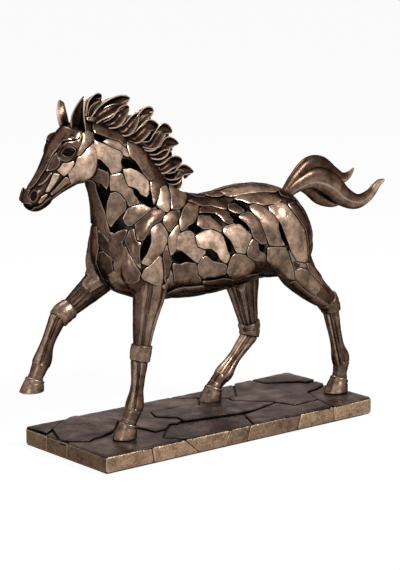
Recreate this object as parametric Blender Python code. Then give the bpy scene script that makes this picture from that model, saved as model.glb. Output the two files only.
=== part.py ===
"""Trotting horse statuette in cold-cast bronze, on a paved rectangular base.

The trunk is a hollow openwork shell in eight castings, left and right of the midline. The head sits in
the neck with its cheek plates and ears, the mane rides on the crest, and the tail is pinned to the rump.
Each leg is five castings threaded on a bent steel wire. The wire of a standing leg runs from a socket in
the base to the inside of the trunk, and the wire of the raised leg ends in its hoof.

Sizes are millimetres. +X runs from head to tail, -Y is the horse's left, +Z is up, and the origin is the
centre of the felt's underside. Heights named "height" are measured from the top of the paving.
"""

import math

import bmesh
import bpy
from mathutils import Vector

MM = 0.001

# Base
BASE_LENGTH = 260.0
BASE_WIDTH = 100.5
BASE_THICKNESS = 13.7
BASE_EDGE = 1.6
BASE_EDGE_SEGMENTS = 2
FELT_THICKNESS = 1.0
FELT_INSET = 5.0

# Fits
SEAT_GAP = 0.3
SHELL_WALL = 2.6
WIRE_RADIUS = 1.3
WIRE_CLEARANCE = 0.3
SOCKET_DEPTH = 8.0
SOCKET_FLOOR = 0.5  # free depth below the end of a wire
RAISED_WIRE_DEPTH = 3.5  # how far the wire of the raised leg goes into its hoof
WIRE_TOP = 0.3  # where a wire ends inside the trunk, as a share of the leg's first span
BORE_TOP = 0.2  # where its bore ends
TAIL_PIN_RADIUS = 1.5
TAIL_PIN_CLEARANCE = 0.3
TAIL_PIN_LENGTH = 16.0

# Facets round a section
SHELL_SPANS = 9
LEG_SIDES = 12
WIRE_SIDES = 6
HEAD_SIDES = 14
LOCK_SIDES = 8

PAVING_TOP = FELT_THICKNESS + SEAT_GAP + BASE_THICKNESS

# Trunk sections from the rump to the poll: back (x, height), belly (x, height), half width
TRUNK = [
    (97.0, 140.0, 98.5, 128.0, 4.0),
    (93.0, 149.0, 97.0, 118.0, 12.5),
    (85.0, 157.0, 93.0, 104.0, 21.5),
    (73.0, 164.0, 80.0, 98.0, 27.5),
    (58.0, 168.5, 63.0, 97.0, 31.0),
    (42.0, 170.0, 45.0, 98.0, 32.0),
    (26.0, 169.0, 27.0, 95.0, 32.0),
    (8.0, 166.5, 8.0, 93.5, 32.5),
    (-10.0, 167.0, -12.0, 92.5, 32.5),
    (-24.0, 171.0, -32.0, 93.0, 32.0),
    (-33.0, 176.0, -52.0, 95.0, 31.5),
    (-39.0, 182.0, -71.0, 99.0, 30.5),
    (-43.5, 188.5, -87.0, 108.0, 27.5),
    (-48.0, 196.0, -97.0, 124.0, 23.0),
    (-53.0, 203.0, -98.5, 141.0, 19.5),
    (-61.0, 210.0, -98.5, 156.0, 17.0),
    (-72.0, 216.5, -100.5, 170.0, 15.5),
    (-86.0, 222.5, -104.0, 182.0, 14.5),
    (-100.0, 227.5, -110.0, 192.0, 13.5),
    (-111.0, 229.0, -113.0, 201.0, 12.0),
]
TRUNK_FULLNESS = 0.14  # how much wider a section is below its middle than above it

# Castings of the trunk, as spans of the sections above
TRUNK_CASTINGS = {
    "haunch_shell": (0, 5),
    "barrel_shell": (5, 10),
    "shoulder_shell": (10, 13),
    "neck_shell": (13, 18),
}

# Pierced openings on each flank: x, height, length, width, slope of the long axis in degrees
OPENINGS = [
    (-103.0, 217.0, 10.0, 4.0, -20.0),
    (-101.0, 198.0, 14.0, 6.0, -55.0),
    (-79.0, 196.0, 17.0, 6.5, -28.0),
    (-71.0, 174.0, 21.0, 8.0, -45.0),
    (-97.0, 174.0, 24.0, 5.0, -72.0),
    (-91.0, 155.0, 13.0, 7.0, 60.0),
    (-77.0, 137.0, 22.0, 7.0, 68.0),
    (-31.0, 148.0, 12.0, 6.5, -12.0),
    (-10.0, 152.0, 15.0, 6.0, -40.0),
    (-45.0, 128.0, 19.0, 7.0, -15.0),
    (-18.0, 127.0, 13.0, 8.0, -48.0),
    (-3.0, 134.0, 14.0, 5.0, -72.0),
    (13.0, 147.0, 17.0, 6.5, -48.0),
    (19.0, 158.0, 11.0, 5.0, -25.0),
    (30.0, 127.0, 8.0, 5.0, -70.0),
    (-11.0, 109.0, 18.0, 4.5, 2.0),
    (53.0, 134.0, 18.0, 6.0, -68.0),
    (66.0, 153.0, 11.0, 4.5, -55.0),
]
OPENING_INNER_Y = 4.0
OPENING_OUTER_Y = 60.0
OPENING_ARC_POINTS = 4

# Head sections from the poll to the lips: brow line (x, height), jaw line (x, height), half width
HEAD = [
    (-110.0, 230.5, -103.0, 209.0, 9.5),
    (-121.0, 229.0, -105.5, 192.5, 13.5),
    (-130.0, 222.5, -111.0, 186.0, 14.0),
    (-136.5, 214.5, -120.0, 182.5, 12.5),
    (-141.5, 206.5, -129.0, 179.0, 10.2),
    (-146.5, 198.5, -137.0, 175.0, 9.0),
    (-151.5, 191.5, -144.0, 171.5, 8.7),
    (-156.5, 186.0, -150.5, 169.5, 8.6),
    (-159.5, 181.5, -155.5, 170.5, 7.0),
    (-160.5, 178.0, -159.0, 174.0, 3.0),
]
HEAD_FULLNESS = -0.06

CHEEK_CENTRE = (-114.5, 8.5, 201.5)
CHEEK_RADII = (13.5, 8.0, 15.0)
CHEEK_SIDES = 18
CHEEK_RINGS = 8

EAR_ROOT = (-116.5, 7.5, 226.0)
EAR_TIP = (-119.5, 11.0, 246.0)
EAR_HALF_WIDTHS = (2.6, 4.2, 3.4, 0.7)
EAR_FLATNESS = 0.62

# Legs: casting name, then stations of x, height, half depth and half width, from the trunk to the sole
LEGS = {
    "left_fore": {
        "y": -22.0,
        "standing": True,
        "castings": {
            "forearm": [
                (-64.0, 128.0, 12.0, 6.5),
                (-68.0, 106.0, 13.0, 10.0),
                (-72.5, 86.0, 9.6, 8.2),
                (-75.6, 67.5, 6.6, 6.4),
            ],
            "knee": [(-75.6, 67.5, 7.4, 7.2), (-76.7, 61.5, 8.0, 7.7), (-78.0, 54.5, 7.0, 6.8)],
            "cannon": [(-78.0, 54.5, 6.3, 6.1), (-80.2, 36.0, 4.9, 4.8), (-83.9, 19.5, 6.2, 5.9)],
            "pastern": [(-83.9, 19.5, 5.6, 5.4), (-88.2, 10.4, 5.9, 5.8)],
            "hoof": [(-88.2, 10.4, 6.6, 6.4), (-92.0, 0.0, 9.3, 8.6)],
        },
    },
    "right_fore": {
        "y": 21.0,
        "standing": False,
        "castings": {
            "forearm": [
                (-62.0, 124.0, 12.0, 6.5),
                (-76.0, 112.0, 12.0, 9.5),
                (-92.0, 101.0, 9.5, 8.2),
                (-107.5, 91.5, 7.0, 6.6),
            ],
            "knee": [(-107.5, 91.5, 7.6, 7.3), (-114.0, 88.0, 8.4, 8.0), (-119.4, 84.0, 7.2, 7.0)],
            "cannon": [(-119.4, 84.0, 6.4, 6.2), (-127.5, 69.0, 5.0, 4.9), (-134.8, 52.5, 6.2, 5.9)],
            "pastern": [(-134.8, 52.5, 5.6, 5.4), (-139.2, 43.5, 5.9, 5.8)],
            "hoof": [(-139.2, 43.5, 6.6, 6.4), (-142.8, 34.5, 9.3, 8.6)],
        },
    },
    "left_hind": {
        "y": -20.0,
        "standing": True,
        "castings": {
            "thigh": [
                (64.0, 132.0, 15.0, 7.0),
                (72.5, 107.0, 15.5, 12.0),
                (90.0, 88.5, 11.8, 10.2),
                (107.0, 76.0, 8.2, 7.6),
            ],
            "hock": [(107.0, 76.0, 9.0, 8.0), (111.0, 71.0, 8.8, 7.9), (112.4, 65.0, 7.3, 7.0)],
            "cannon": [(112.4, 65.0, 6.6, 6.2), (118.4, 42.5, 5.3, 5.0), (124.0, 22.5, 6.8, 6.1)],
            "pastern": [(124.0, 22.5, 5.9, 5.6), (122.8, 11.0, 6.0, 5.9)],
            "hoof": [(122.8, 11.0, 6.7, 6.5), (118.5, 0.0, 10.4, 9.2)],
        },
    },
    "right_hind": {
        "y": 22.0,
        "standing": True,
        "castings": {
            "thigh": [
                (58.0, 128.0, 15.0, 7.0),
                (56.0, 100.0, 16.5, 12.0),
                (60.0, 75.0, 11.0, 9.5),
                (63.8, 57.5, 7.8, 7.4),
            ],
            "hock": [(63.8, 57.5, 8.6, 8.0), (65.2, 51.0, 8.8, 8.0), (64.0, 45.0, 7.5, 7.2)],
            "cannon": [(64.0, 45.0, 6.8, 6.4), (50.0, 31.0, 5.2, 5.0), (35.6, 16.8, 6.5, 6.0)],
            "pastern": [(35.6, 16.8, 5.7, 5.5), (28.8, 10.2, 6.0, 5.9)],
            "hoof": [(28.8, 10.2, 6.6, 6.4), (24.5, 0.0, 9.4, 8.6)],
        },
    },
}

# Mane: a ridge along the back line of these trunk sections, and its locks
CREST_FIRST = 10
CREST_LAST = 18
CREST_RADIUS = 4.6
# place of the root among the trunk sections, tip (x, height), side offset, half width
MANE_LOCKS = [
    (10.6, -10.0, 182.0, -3.0, 4.4),
    (11.5, -19.0, 189.5, 3.0, 5.0),
    (12.5, -21.5, 197.0, -3.5, 5.4),
    (13.4, -25.0, 206.0, 3.5, 5.6),
    (14.2, -31.0, 214.5, -3.5, 5.8),
    (15.0, -38.0, 222.5, 3.5, 6.0),
    (15.7, -47.0, 230.5, -3.5, 6.0),
    (16.3, -57.0, 237.0, 3.5, 6.0),
    (16.9, -68.0, 242.0, -3.5, 6.0),
    (17.6, -81.0, 244.5, 3.0, 5.8),
    (18.3, -94.0, 245.0, -2.0, 5.4),
]
LOCK_PROFILE = (0.62, 0.95, 1.0, 0.86, 0.56, 0.18)
LOCK_FLATNESS = 0.62
LOCK_SAG = 0.16

# Tail: each lock's centre line (x, y, height) and half widths
TAIL_LOCKS = {
    "upper": [
        (82.0, 0.0, 159.0, 5.0),
        (93.0, 0.5, 171.0, 6.0),
        (106.0, 1.0, 181.5, 6.5),
        (118.0, 1.5, 181.0, 6.5),
        (131.0, 2.0, 172.0, 5.5),
        (143.0, 2.5, 165.5, 4.0),
        (151.0, 3.0, 167.0, 2.6),
        (156.0, 3.0, 171.5, 0.9),
    ],
    "main": [
        (82.0, 0.0, 159.0, 5.0),
        (95.0, -1.0, 165.5, 6.0),
        (110.0, -2.0, 170.0, 7.5),
        (126.0, -2.5, 163.0, 8.0),
        (141.0, -2.5, 149.5, 7.0),
        (156.0, -2.0, 145.0, 5.6),
        (170.0, -1.0, 149.0, 4.2),
        (181.0, 0.0, 157.0, 2.8),
        (188.0, 0.0, 159.5, 1.0),
    ],
    "lower": [
        (95.0, 2.0, 165.5, 4.0),
        (110.0, 4.0, 163.0, 6.0),
        (122.0, 5.0, 153.0, 6.0),
        (134.0, 5.0, 146.0, 4.0),
        (143.0, 4.0, 144.0, 1.2),
    ],
}
TAIL_FLATNESS = 0.75

BRONZE = (0.33, 0.235, 0.165)
BRONZE_DARK = (0.20, 0.145, 0.105)
STEEL = (0.45, 0.45, 0.46)
FELT = (0.03, 0.03, 0.03)


# Materials and meshes


def material(name, colour, roughness, metallic):
    made = bpy.data.materials.new(name)
    made.use_nodes = True
    shader = made.node_tree.nodes["Principled BSDF"]
    shader.inputs["Base Color"].default_value = (*colour, 1.0)
    shader.inputs["Roughness"].default_value = roughness
    shader.inputs["Metallic"].default_value = metallic
    return made


def mesh_object(name, points, faces, finish=None):
    """A closed mesh from points in millimetres above the paving, with its faces turned outwards."""
    mesh = bpy.data.meshes.new(name)
    lift = Vector((0.0, 0.0, PAVING_TOP))
    mesh.from_pydata([(Vector(p) + lift) * MM for p in points], [], faces)
    shaped = bmesh.new()
    shaped.from_mesh(mesh)
    bmesh.ops.recalc_face_normals(shaped, faces=shaped.faces)
    shaped.to_mesh(mesh)
    shaped.free()
    mesh.shade_smooth()
    mesh.set_sharp_from_angle(angle=math.radians(40.0))
    made = bpy.data.objects.new(name, mesh)
    bpy.context.scene.collection.objects.link(made)
    if finish:
        mesh.materials.append(finish)
    return made


def helper(made):
    """Marks an object as a cutter, which is no part of the statuette."""
    made.hide_render = True
    made.display_type = "WIRE"
    return made


def boolean(target, other, operation):
    step = target.modifiers.new(f"{operation.lower()}_{other.name}", "BOOLEAN")
    step.operation = operation
    step.object = other
    step.solver = "EXACT"


def ring_faces(rows, columns, closed_rows):
    """Triangles between neighbouring rows of points numbered row by row, with each row closed or open.

    A closed row splits its quads one way on its first half and the mirrored way on its second half, so that a
    whole ring lies on the same facets as two mirrored half rows.
    """
    last = columns if closed_rows else columns - 1
    faces = []
    for r in range(rows - 1):
        for c in range(last):
            n = (c + 1) % columns
            near, near_next = r * columns + c, r * columns + n
            far, far_next = near + columns, near_next + columns
            if closed_rows and c >= columns // 2:
                faces += [(near, near_next, far), (near_next, far_next, far)]
            else:
                faces += [(near, near_next, far_next), (near, far_next, far)]
    return faces


def loft(name, rings, finish=None):
    """A solid through closed rings of equal count, flat at both ends."""
    columns = len(rings[0])
    faces = ring_faces(len(rings), columns, True)
    start = (len(rings) - 1) * columns
    faces.append(tuple(range(columns)))
    faces.append(tuple(range(start, start + columns)))
    return mesh_object(name, [p for ring in rings for p in ring], faces, finish)


def sleeve(name, outer, bore, finish):
    """A solid through closed rings with a bore along its middle."""
    columns, rows = len(outer[0]), len(outer)
    walls = ring_faces(rows, columns, True)
    offset = rows * columns
    faces = walls + [tuple(i + offset for i in face) for face in walls]
    for start in (0, (rows - 1) * columns):
        for c in range(columns):
            n = (c + 1) % columns
            faces.append((start + c, start + n, offset + start + n, offset + start + c))
    points = [p for ring in outer + bore for p in ring]
    return mesh_object(name, points, faces, finish)


def shell(name, outer, inner, finish):
    """A solid between two open grids of equal size: the outside and the inside of a wall."""
    rows, columns = len(outer), len(outer[0])
    walls = ring_faces(rows, columns, False)
    offset = rows * columns
    faces = walls + [tuple(i + offset for i in face) for face in walls]
    rim = list(range(columns))
    rim += [r * columns + columns - 1 for r in range(1, rows)]
    rim += [(rows - 1) * columns + c for c in range(columns - 2, -1, -1)]
    rim += [r * columns for r in range(rows - 2, 0, -1)]
    for a, b in zip(rim, rim[1:] + rim[:1]):
        faces.append((a, b, offset + b, offset + a))
    return mesh_object(name, [p for row in outer + inner for p in row], faces, finish)


def blend(rows, place):
    """The row of numbers at a place along a list of rows, on straight lines between them."""
    low = min(int(place), len(rows) - 2)
    share = place - low
    return [a + (b - a) * share for a, b in zip(rows[low], rows[low + 1])]


# Trunk


def section(row, fullness, angles, inset=0.0):
    """Points round a section given by its back, its belly and its half width. A quarter turn is the back."""
    back_x, back_height, belly_x, belly_height, half_width = row
    back = Vector((back_x, 0.0, back_height))
    belly = Vector((belly_x, 0.0, belly_height))
    middle = (back + belly) / 2
    reach = (back - belly) / 2
    reach = reach.normalized() * max(reach.length - inset, 0.2)
    width = max(half_width - inset, 0.2)
    points = []
    for angle in angles:
        across = width * math.cos(angle) * (1.0 - fullness * math.sin(angle))
        points.append(middle + reach * math.sin(angle) + Vector((0.0, across, 0.0)))
    return points


def full_circle(count):
    """Angles of a whole turn, from the back of a section."""
    return [math.pi / 2 + 2.0 * math.pi * i / count for i in range(count)]


def trunk_solid(name, grown):
    """The whole trunk as one body, grown outwards, for cutting what seats on it."""
    rings = [section(row, TRUNK_FULLNESS, full_circle(2 * SHELL_SPANS), -grown) for row in TRUNK]
    return helper(loft(name, rings))


def casting_places(first, last):
    """Places along the trunk for one casting, drawn in by half a gap at each end that meets a neighbour."""
    half_gap = []
    for at in (first, last):
        here, there = TRUNK[at], TRUNK[at + 1]
        step = math.hypot(there[0] - here[0], there[1] - here[1])
        half_gap.append(0.5 * SEAT_GAP / step)
    start = first + (half_gap[0] if first else 0.0)
    return [start] + list(range(first + 1, last)) + [last - half_gap[1]]


def trunk_half(name, side, first, last, finish):
    """One side of a trunk casting, clear of the other side by the seat gap."""
    span = [math.pi / 2 + math.pi * i / SHELL_SPANS for i in range(SHELL_SPANS + 1)]
    grids = []
    for inset in (0.0, SHELL_WALL):
        grid = []
        for place in casting_places(first, last):
            row = blend(TRUNK, place)
            if first == 0 and place == 0 and inset:
                row = blend(TRUNK, inset / (TRUNK[0][0] - TRUNK[2][0]) * 2.0)
            points = section(row, TRUNK_FULLNESS, span, inset)
            for p in points:
                p.y = side * max(-p.y, SEAT_GAP / 2)
            grid.append(points)
        grids.append(grid)
    return shell(name, grids[0], grids[1], finish)


def opening_outline(x, height, length, width, slope):
    """A leaf with two pointed ends, from two arcs over the long axis."""
    turn = math.radians(slope)
    along = Vector((math.cos(turn), 0.0, math.sin(turn)))
    across = Vector((-math.sin(turn), 0.0, math.cos(turn)))
    centre = Vector((x, 0.0, height))
    points = []
    for sign in (1.0, -1.0):
        for i in range(OPENING_ARC_POINTS):
            t = i / OPENING_ARC_POINTS
            bow = math.sin(math.pi * t) * width / 2
            points.append(centre + along * sign * (t - 0.5) * length + across * sign * bow)
    return points


def openings_cutter(name, side):
    """All openings of one flank as prisms through its wall."""
    points, faces = [], []
    for row in OPENINGS:
        outline = opening_outline(*row)
        count, start = len(outline), len(points)
        for depth in (OPENING_INNER_Y, OPENING_OUTER_Y):
            points += [p + Vector((0.0, side * depth, 0.0)) for p in outline]
        faces.append(tuple(start + i for i in range(count)))
        faces.append(tuple(start + count + i for i in range(count)))
        for i in range(count):
            n = (i + 1) % count
            faces.append((start + i, start + n, start + count + n, start + count + i))
    return helper(mesh_object(name, points, faces))


# Legs


def leg_stations(leg):
    """All stations of a leg in order: casting, centre, travel direction, half depth and half width."""
    rows = []
    for casting, stations in leg["castings"].items():
        for x, height, depth, width in stations:
            rows.append([casting, Vector((x, leg["y"], height)), None, depth, width])
    for i, row in enumerate(rows):
        before = next((r[1] for r in reversed(rows[:i]) if r[1] != row[1]), row[1])
        after = next((r[1] for r in rows[i + 1 :] if r[1] != row[1]), row[1])
        row[2] = (after - before).normalized()
    rows[-1][2] = Vector((0.0, 0.0, -1.0))
    return rows


def ring_round(centre, travel, depth, width, sides):
    """An oval ring square to the travel direction, its width along Y."""
    across = Vector((0.0, 1.0, 0.0))
    fore = across.cross(travel).normalized()
    return [centre + fore * depth * math.cos(a) + across * width * math.sin(a) for a in full_circle(sides)]


def leg_casting(name, rows, is_first, sole, finish):
    """One casting of a leg with its wire bore. The sole of a raised hoof is closed."""
    outer, bore = [], []
    bore_radius = WIRE_RADIUS + WIRE_CLEARANCE
    for i, (_, centre, travel, depth, width) in enumerate(rows):
        shift = 0.0
        if i == 0 and not is_first:
            shift = SEAT_GAP / 2
        if i == len(rows) - 1:
            shift = -SEAT_GAP if sole == "standing" else (0.0 if sole else -SEAT_GAP / 2)
        centre = centre + travel * shift
        outer.append(ring_round(centre, travel, depth, width, LEG_SIDES))
        bore.append(ring_round(centre, travel, bore_radius, bore_radius, LEG_SIDES))
    if sole == "raised":
        share = (RAISED_WIRE_DEPTH + SOCKET_FLOOR) / (rows[-1][1] - rows[0][1]).length
        bore[-1] = [a.lerp(b, share) for a, b in zip(bore[0], bore[-1])]
        return blind_sleeve(name, outer, bore, finish)
    return sleeve(name, outer, bore, finish)


def blind_sleeve(name, outer, bore, finish):
    """A sleeve whose far end is closed, so that the bore stops inside it."""
    columns, rows = len(outer[0]), len(outer)
    walls = ring_faces(rows, columns, True)
    offset = rows * columns
    faces = walls + [tuple(i + offset for i in face) for face in walls]
    for c in range(columns):
        n = (c + 1) % columns
        faces.append((c, n, offset + n, offset + c))
    end = (rows - 1) * columns
    faces.append(tuple(end + c for c in range(columns)))
    faces.append(tuple(offset + end + c for c in range(columns)))
    return mesh_object(name, [p for ring in outer + bore for p in ring], faces, finish)


def wire_rings(leg, radius, top, extra_below):
    """Rings of a leg's wire from inside the trunk down to its socket or to the raised hoof."""
    rows = leg_stations(leg)
    stops = [(rows[0][1].lerp(rows[1][1], top), rows[1][2])]
    for _, centre, travel, _, _ in rows[1:-1]:
        if centre != stops[-1][0]:
            stops.append((centre, travel))
    coronet, sole, travel = rows[-2][1], rows[-1][1], rows[-1][2]
    if leg["standing"]:
        stops.append((sole, travel))
        stops.append((sole + travel * (SOCKET_DEPTH + extra_below), travel))
    else:
        into_hoof = (sole - coronet).normalized()
        stops.append((coronet + into_hoof * (RAISED_WIRE_DEPTH + extra_below), into_hoof))
    return [ring_round(centre, travel, radius, radius, WIRE_SIDES) for centre, travel in stops]


# Head, mane and tail


def head_rings(grown):
    """Rings of the head, grown outwards and at the back where it is a cutter."""
    rings = [section(row, HEAD_FULLNESS, full_circle(HEAD_SIDES), -grown) for row in HEAD]
    if grown:
        behind = (rings[0][0] - rings[1][0]).normalized() * grown
        rings[0] = [p + behind for p in rings[0]]
    return rings


def cheek(name, side, finish):
    """A domed plate on the side of the jaw."""
    centre = Vector(CHEEK_CENTRE)
    rings = []
    for i in range(1, CHEEK_RINGS):
        lean = math.pi * i / CHEEK_RINGS
        ring = []
        for angle in full_circle(CHEEK_SIDES):
            along = CHEEK_RADII[0] * math.sin(lean) * math.cos(angle)
            out = CHEEK_RADII[1] * math.cos(lean)
            rise = CHEEK_RADII[2] * math.sin(lean) * math.sin(angle)
            point = centre + Vector((along, out, rise))
            ring.append(Vector((point.x, side * point.y, point.z)))
        rings.append(ring)
    return loft(name, rings, finish)


def swept(name, path, half_widths, flatness, flat_axis, finish=None):
    """A tapering lock along a path, flattened towards an axis."""
    rings = []
    for i, (point, half) in enumerate(zip(path, half_widths)):
        travel = (path[min(i + 1, len(path) - 1)] - path[max(i - 1, 0)]).normalized()
        thin = (flat_axis - travel * flat_axis.dot(travel)).normalized()
        broad = travel.cross(thin)
        ring = []
        for a in full_circle(LOCK_SIDES):
            ring.append(point + broad * half * math.cos(a) + thin * half * flatness * math.sin(a))
        rings.append(ring)
    return loft(name, rings, finish)


def ear(name, side, finish):
    root = Vector((EAR_ROOT[0], side * EAR_ROOT[1], EAR_ROOT[2]))
    tip = Vector((EAR_TIP[0], side * EAR_TIP[1], EAR_TIP[2]))
    steps = len(EAR_HALF_WIDTHS) - 1
    path = [root.lerp(tip, i / steps) for i in range(steps + 1)]
    return swept(name, path, EAR_HALF_WIDTHS, EAR_FLATNESS, Vector((1.0, 0.0, 0.0)), finish)


def crest_point(place):
    """The point of the back line at a place among the trunk sections."""
    row = blend(TRUNK, place)
    return Vector((row[0], 0.0, row[1]))


def mane_lock(name, place, tip_x, tip_height, offset, half_width):
    """A lock that sags as it leaves the crest and turns up at its tip."""
    root = crest_point(place) + Vector((0.0, offset / 2, 0.0))
    tip = Vector((tip_x, offset, tip_height))
    run = tip - root
    below = Vector((run.z, 0.0, -run.x))
    steps = len(LOCK_PROFILE) - 1
    path = []
    for i in range(steps + 1):
        t = i / steps
        path.append(root + run * t + below * LOCK_SAG * math.sin(math.pi * t))
    halves = [half_width * share for share in LOCK_PROFILE]
    return swept(name, path, halves, LOCK_FLATNESS, Vector((0.0, 1.0, 0.0)))


def mane(name, finish):
    path = [crest_point(place) for place in range(CREST_FIRST, CREST_LAST + 1)]
    made = swept(name, path, [CREST_RADIUS] * len(path), 1.0, Vector((0.0, 1.0, 0.0)), finish)
    for i, row in enumerate(MANE_LOCKS):
        boolean(made, helper(mane_lock(f"mane_lock_{i + 1}", *row)), "UNION")
    return made


def tail(name, finish):
    pieces = []
    for lock, rows in TAIL_LOCKS.items():
        path = [Vector((x, y, height)) for x, y, height, _ in rows]
        halves = [half for _, _, _, half in rows]
        pieces.append(swept(f"tail_{lock}", path, halves, TAIL_FLATNESS, Vector((0.0, 1.0, 0.0)), finish))
    made = pieces[0]
    made.name = name
    for piece in pieces[1:]:
        boolean(made, helper(piece), "UNION")
    return made


def tail_pin_rings(radius):
    first, second = TAIL_LOCKS["main"][0], TAIL_LOCKS["main"][1]
    root, onward = Vector(first[:3]), Vector(second[:3])
    travel = (onward - root).normalized()
    ends = [root - travel * TAIL_PIN_LENGTH / 2, root + travel * TAIL_PIN_LENGTH / 2]
    return [ring_round(end, travel, radius, radius, LEG_SIDES) for end in ends]


# Base


def block(name, length, width, low, high, finish):
    """A rectangular block between two heights."""
    x, y = length / 2, width / 2
    corners = [(-x, -y), (x, -y), (x, y), (-x, y)]
    rings = [[Vector((*corner, z)) for corner in corners] for z in (low, high)]
    return loft(name, rings, finish)


def base(finish):
    slab = block("base_slab", BASE_LENGTH, BASE_WIDTH, -BASE_THICKNESS, 0.0, finish)
    edge = slab.modifiers.new("edge", "BEVEL")
    edge.width = BASE_EDGE * MM
    edge.segments = BASE_EDGE_SEGMENTS
    return slab


def build():
    for old in list(bpy.data.objects):
        bpy.data.objects.remove(old)
    bronze = material("bronze", BRONZE, roughness=0.38, metallic=1.0)
    dark = material("bronze_dark", BRONZE_DARK, roughness=0.42, metallic=1.0)
    steel = material("steel_wire", STEEL, roughness=0.35, metallic=1.0)
    felt = material("felt", FELT, roughness=0.95, metallic=0.0)

    trunk_cutter = trunk_solid("trunk_cutter", SEAT_GAP)
    head_cutter = helper(loft("head_cutter", head_rings(SEAT_GAP)))
    pin_bore = helper(loft("tail_pin_bore", tail_pin_rings(TAIL_PIN_RADIUS + TAIL_PIN_CLEARANCE)))
    slab = base(dark)
    felt_top = -BASE_THICKNESS - SEAT_GAP
    block(
        "felt_pad",
        BASE_LENGTH - 2 * FELT_INSET,
        BASE_WIDTH - 2 * FELT_INSET,
        felt_top - FELT_THICKNESS,
        felt_top,
        felt,
    )

    wire_bores = {}
    for leg_name, leg in LEGS.items():
        bore_rings = wire_rings(leg, WIRE_RADIUS + WIRE_CLEARANCE, BORE_TOP, SOCKET_FLOOR)
        wire_bores[leg_name] = helper(loft(f"{leg_name}_wire_bore", bore_rings))
        loft(f"{leg_name}_wire", wire_rings(leg, WIRE_RADIUS, WIRE_TOP, 0.0), steel)
        rows = leg_stations(leg)
        names = list(leg["castings"])
        for casting in names:
            own = [row for row in rows if row[0] == casting]
            sole = None
            if casting == names[-1]:
                sole = "standing" if leg["standing"] else "raised"
            made = leg_casting(f"{leg_name}_{casting}", own, casting == names[0], sole, bronze)
            if casting == names[0]:
                boolean(made, trunk_cutter, "DIFFERENCE")
        if leg["standing"]:
            boolean(slab, wire_bores[leg_name], "DIFFERENCE")

    loft("head", head_rings(0.0), bronze)
    for side, word in ((-1.0, "left"), (1.0, "right")):
        flank_openings = openings_cutter(f"openings_{word}", side)
        for casting, (first, last) in TRUNK_CASTINGS.items():
            made = trunk_half(f"{casting}_{word}", side, first, last, bronze)
            boolean(made, flank_openings, "DIFFERENCE")
            for leg_name, bore in wire_bores.items():
                if leg_name.startswith(word) and casting != "neck_shell":
                    boolean(made, bore, "DIFFERENCE")
            if casting == "neck_shell":
                boolean(made, head_cutter, "DIFFERENCE")
            if casting == "haunch_shell":
                boolean(made, pin_bore, "DIFFERENCE")
        jaw = cheek(f"cheek_plate_{word}", side, bronze)
        listening = ear(f"ear_{word}", side, dark)
        for made in (jaw, listening):
            boolean(made, head_cutter, "DIFFERENCE")
            boolean(made, trunk_cutter, "DIFFERENCE")

    crest = mane("mane", dark)
    boolean(crest, trunk_cutter, "DIFFERENCE")
    boolean(crest, head_cutter, "DIFFERENCE")
    rear = tail("tail", dark)
    boolean(rear, trunk_cutter, "DIFFERENCE")
    boolean(rear, pin_bore, "DIFFERENCE")
    loft("tail_pin", tail_pin_rings(TAIL_PIN_RADIUS), steel)


build()
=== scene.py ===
import math

import bpy
import numpy as np
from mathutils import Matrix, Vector, noise
from mathutils.bvhtree import BVHTree
from mathutils.geometry import delaunay_2d_cdt


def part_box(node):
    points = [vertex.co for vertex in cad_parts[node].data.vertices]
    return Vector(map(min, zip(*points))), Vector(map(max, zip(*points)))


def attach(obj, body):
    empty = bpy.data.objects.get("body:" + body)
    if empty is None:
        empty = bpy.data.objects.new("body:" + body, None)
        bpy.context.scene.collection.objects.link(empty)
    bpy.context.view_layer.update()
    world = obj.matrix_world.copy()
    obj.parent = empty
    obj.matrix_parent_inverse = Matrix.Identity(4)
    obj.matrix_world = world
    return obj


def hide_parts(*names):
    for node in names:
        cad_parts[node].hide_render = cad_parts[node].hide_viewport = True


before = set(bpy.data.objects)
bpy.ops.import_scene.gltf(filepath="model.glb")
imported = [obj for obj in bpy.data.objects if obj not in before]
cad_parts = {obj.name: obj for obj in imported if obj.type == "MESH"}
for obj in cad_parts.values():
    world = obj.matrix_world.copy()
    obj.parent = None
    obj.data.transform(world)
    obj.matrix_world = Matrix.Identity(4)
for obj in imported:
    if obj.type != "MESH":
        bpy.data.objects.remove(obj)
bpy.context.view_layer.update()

# Lengths are millimetres and heights are measured above the paving, as in the part's own source.
MM = 0.001
SLAB_LOW, SLAB_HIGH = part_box("base_slab")
PAVING = SLAB_HIGH[2]
# Half length and half width of the slab, and its underside.
SLAB_X = SLAB_HIGH[0] / MM
SLAB_Y = SLAB_HIGH[1] / MM
SLAB_DEEP = (SLAB_LOW[2] - PAVING) / MM
Y_AXIS = Vector((0.0, 1.0, 0.0))
Z_AXIS = Vector((0.0, 0.0, 1.0))

# The camera that took the photograph: turn round the object, height angle, lens in picture units and place.
VIEW_TURN = math.radians(-39.5531)
VIEW_RISE = math.radians(11.3191)
VIEW_LENS = 1985.085
VIEW_PLACE = Vector((-928.95, -1120.86, 388.94))
VIEW_MIDDLE = (200.0, 285.0)
SENSOR = 36.0
PICTURE_HEIGHT = 570.0

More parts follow.
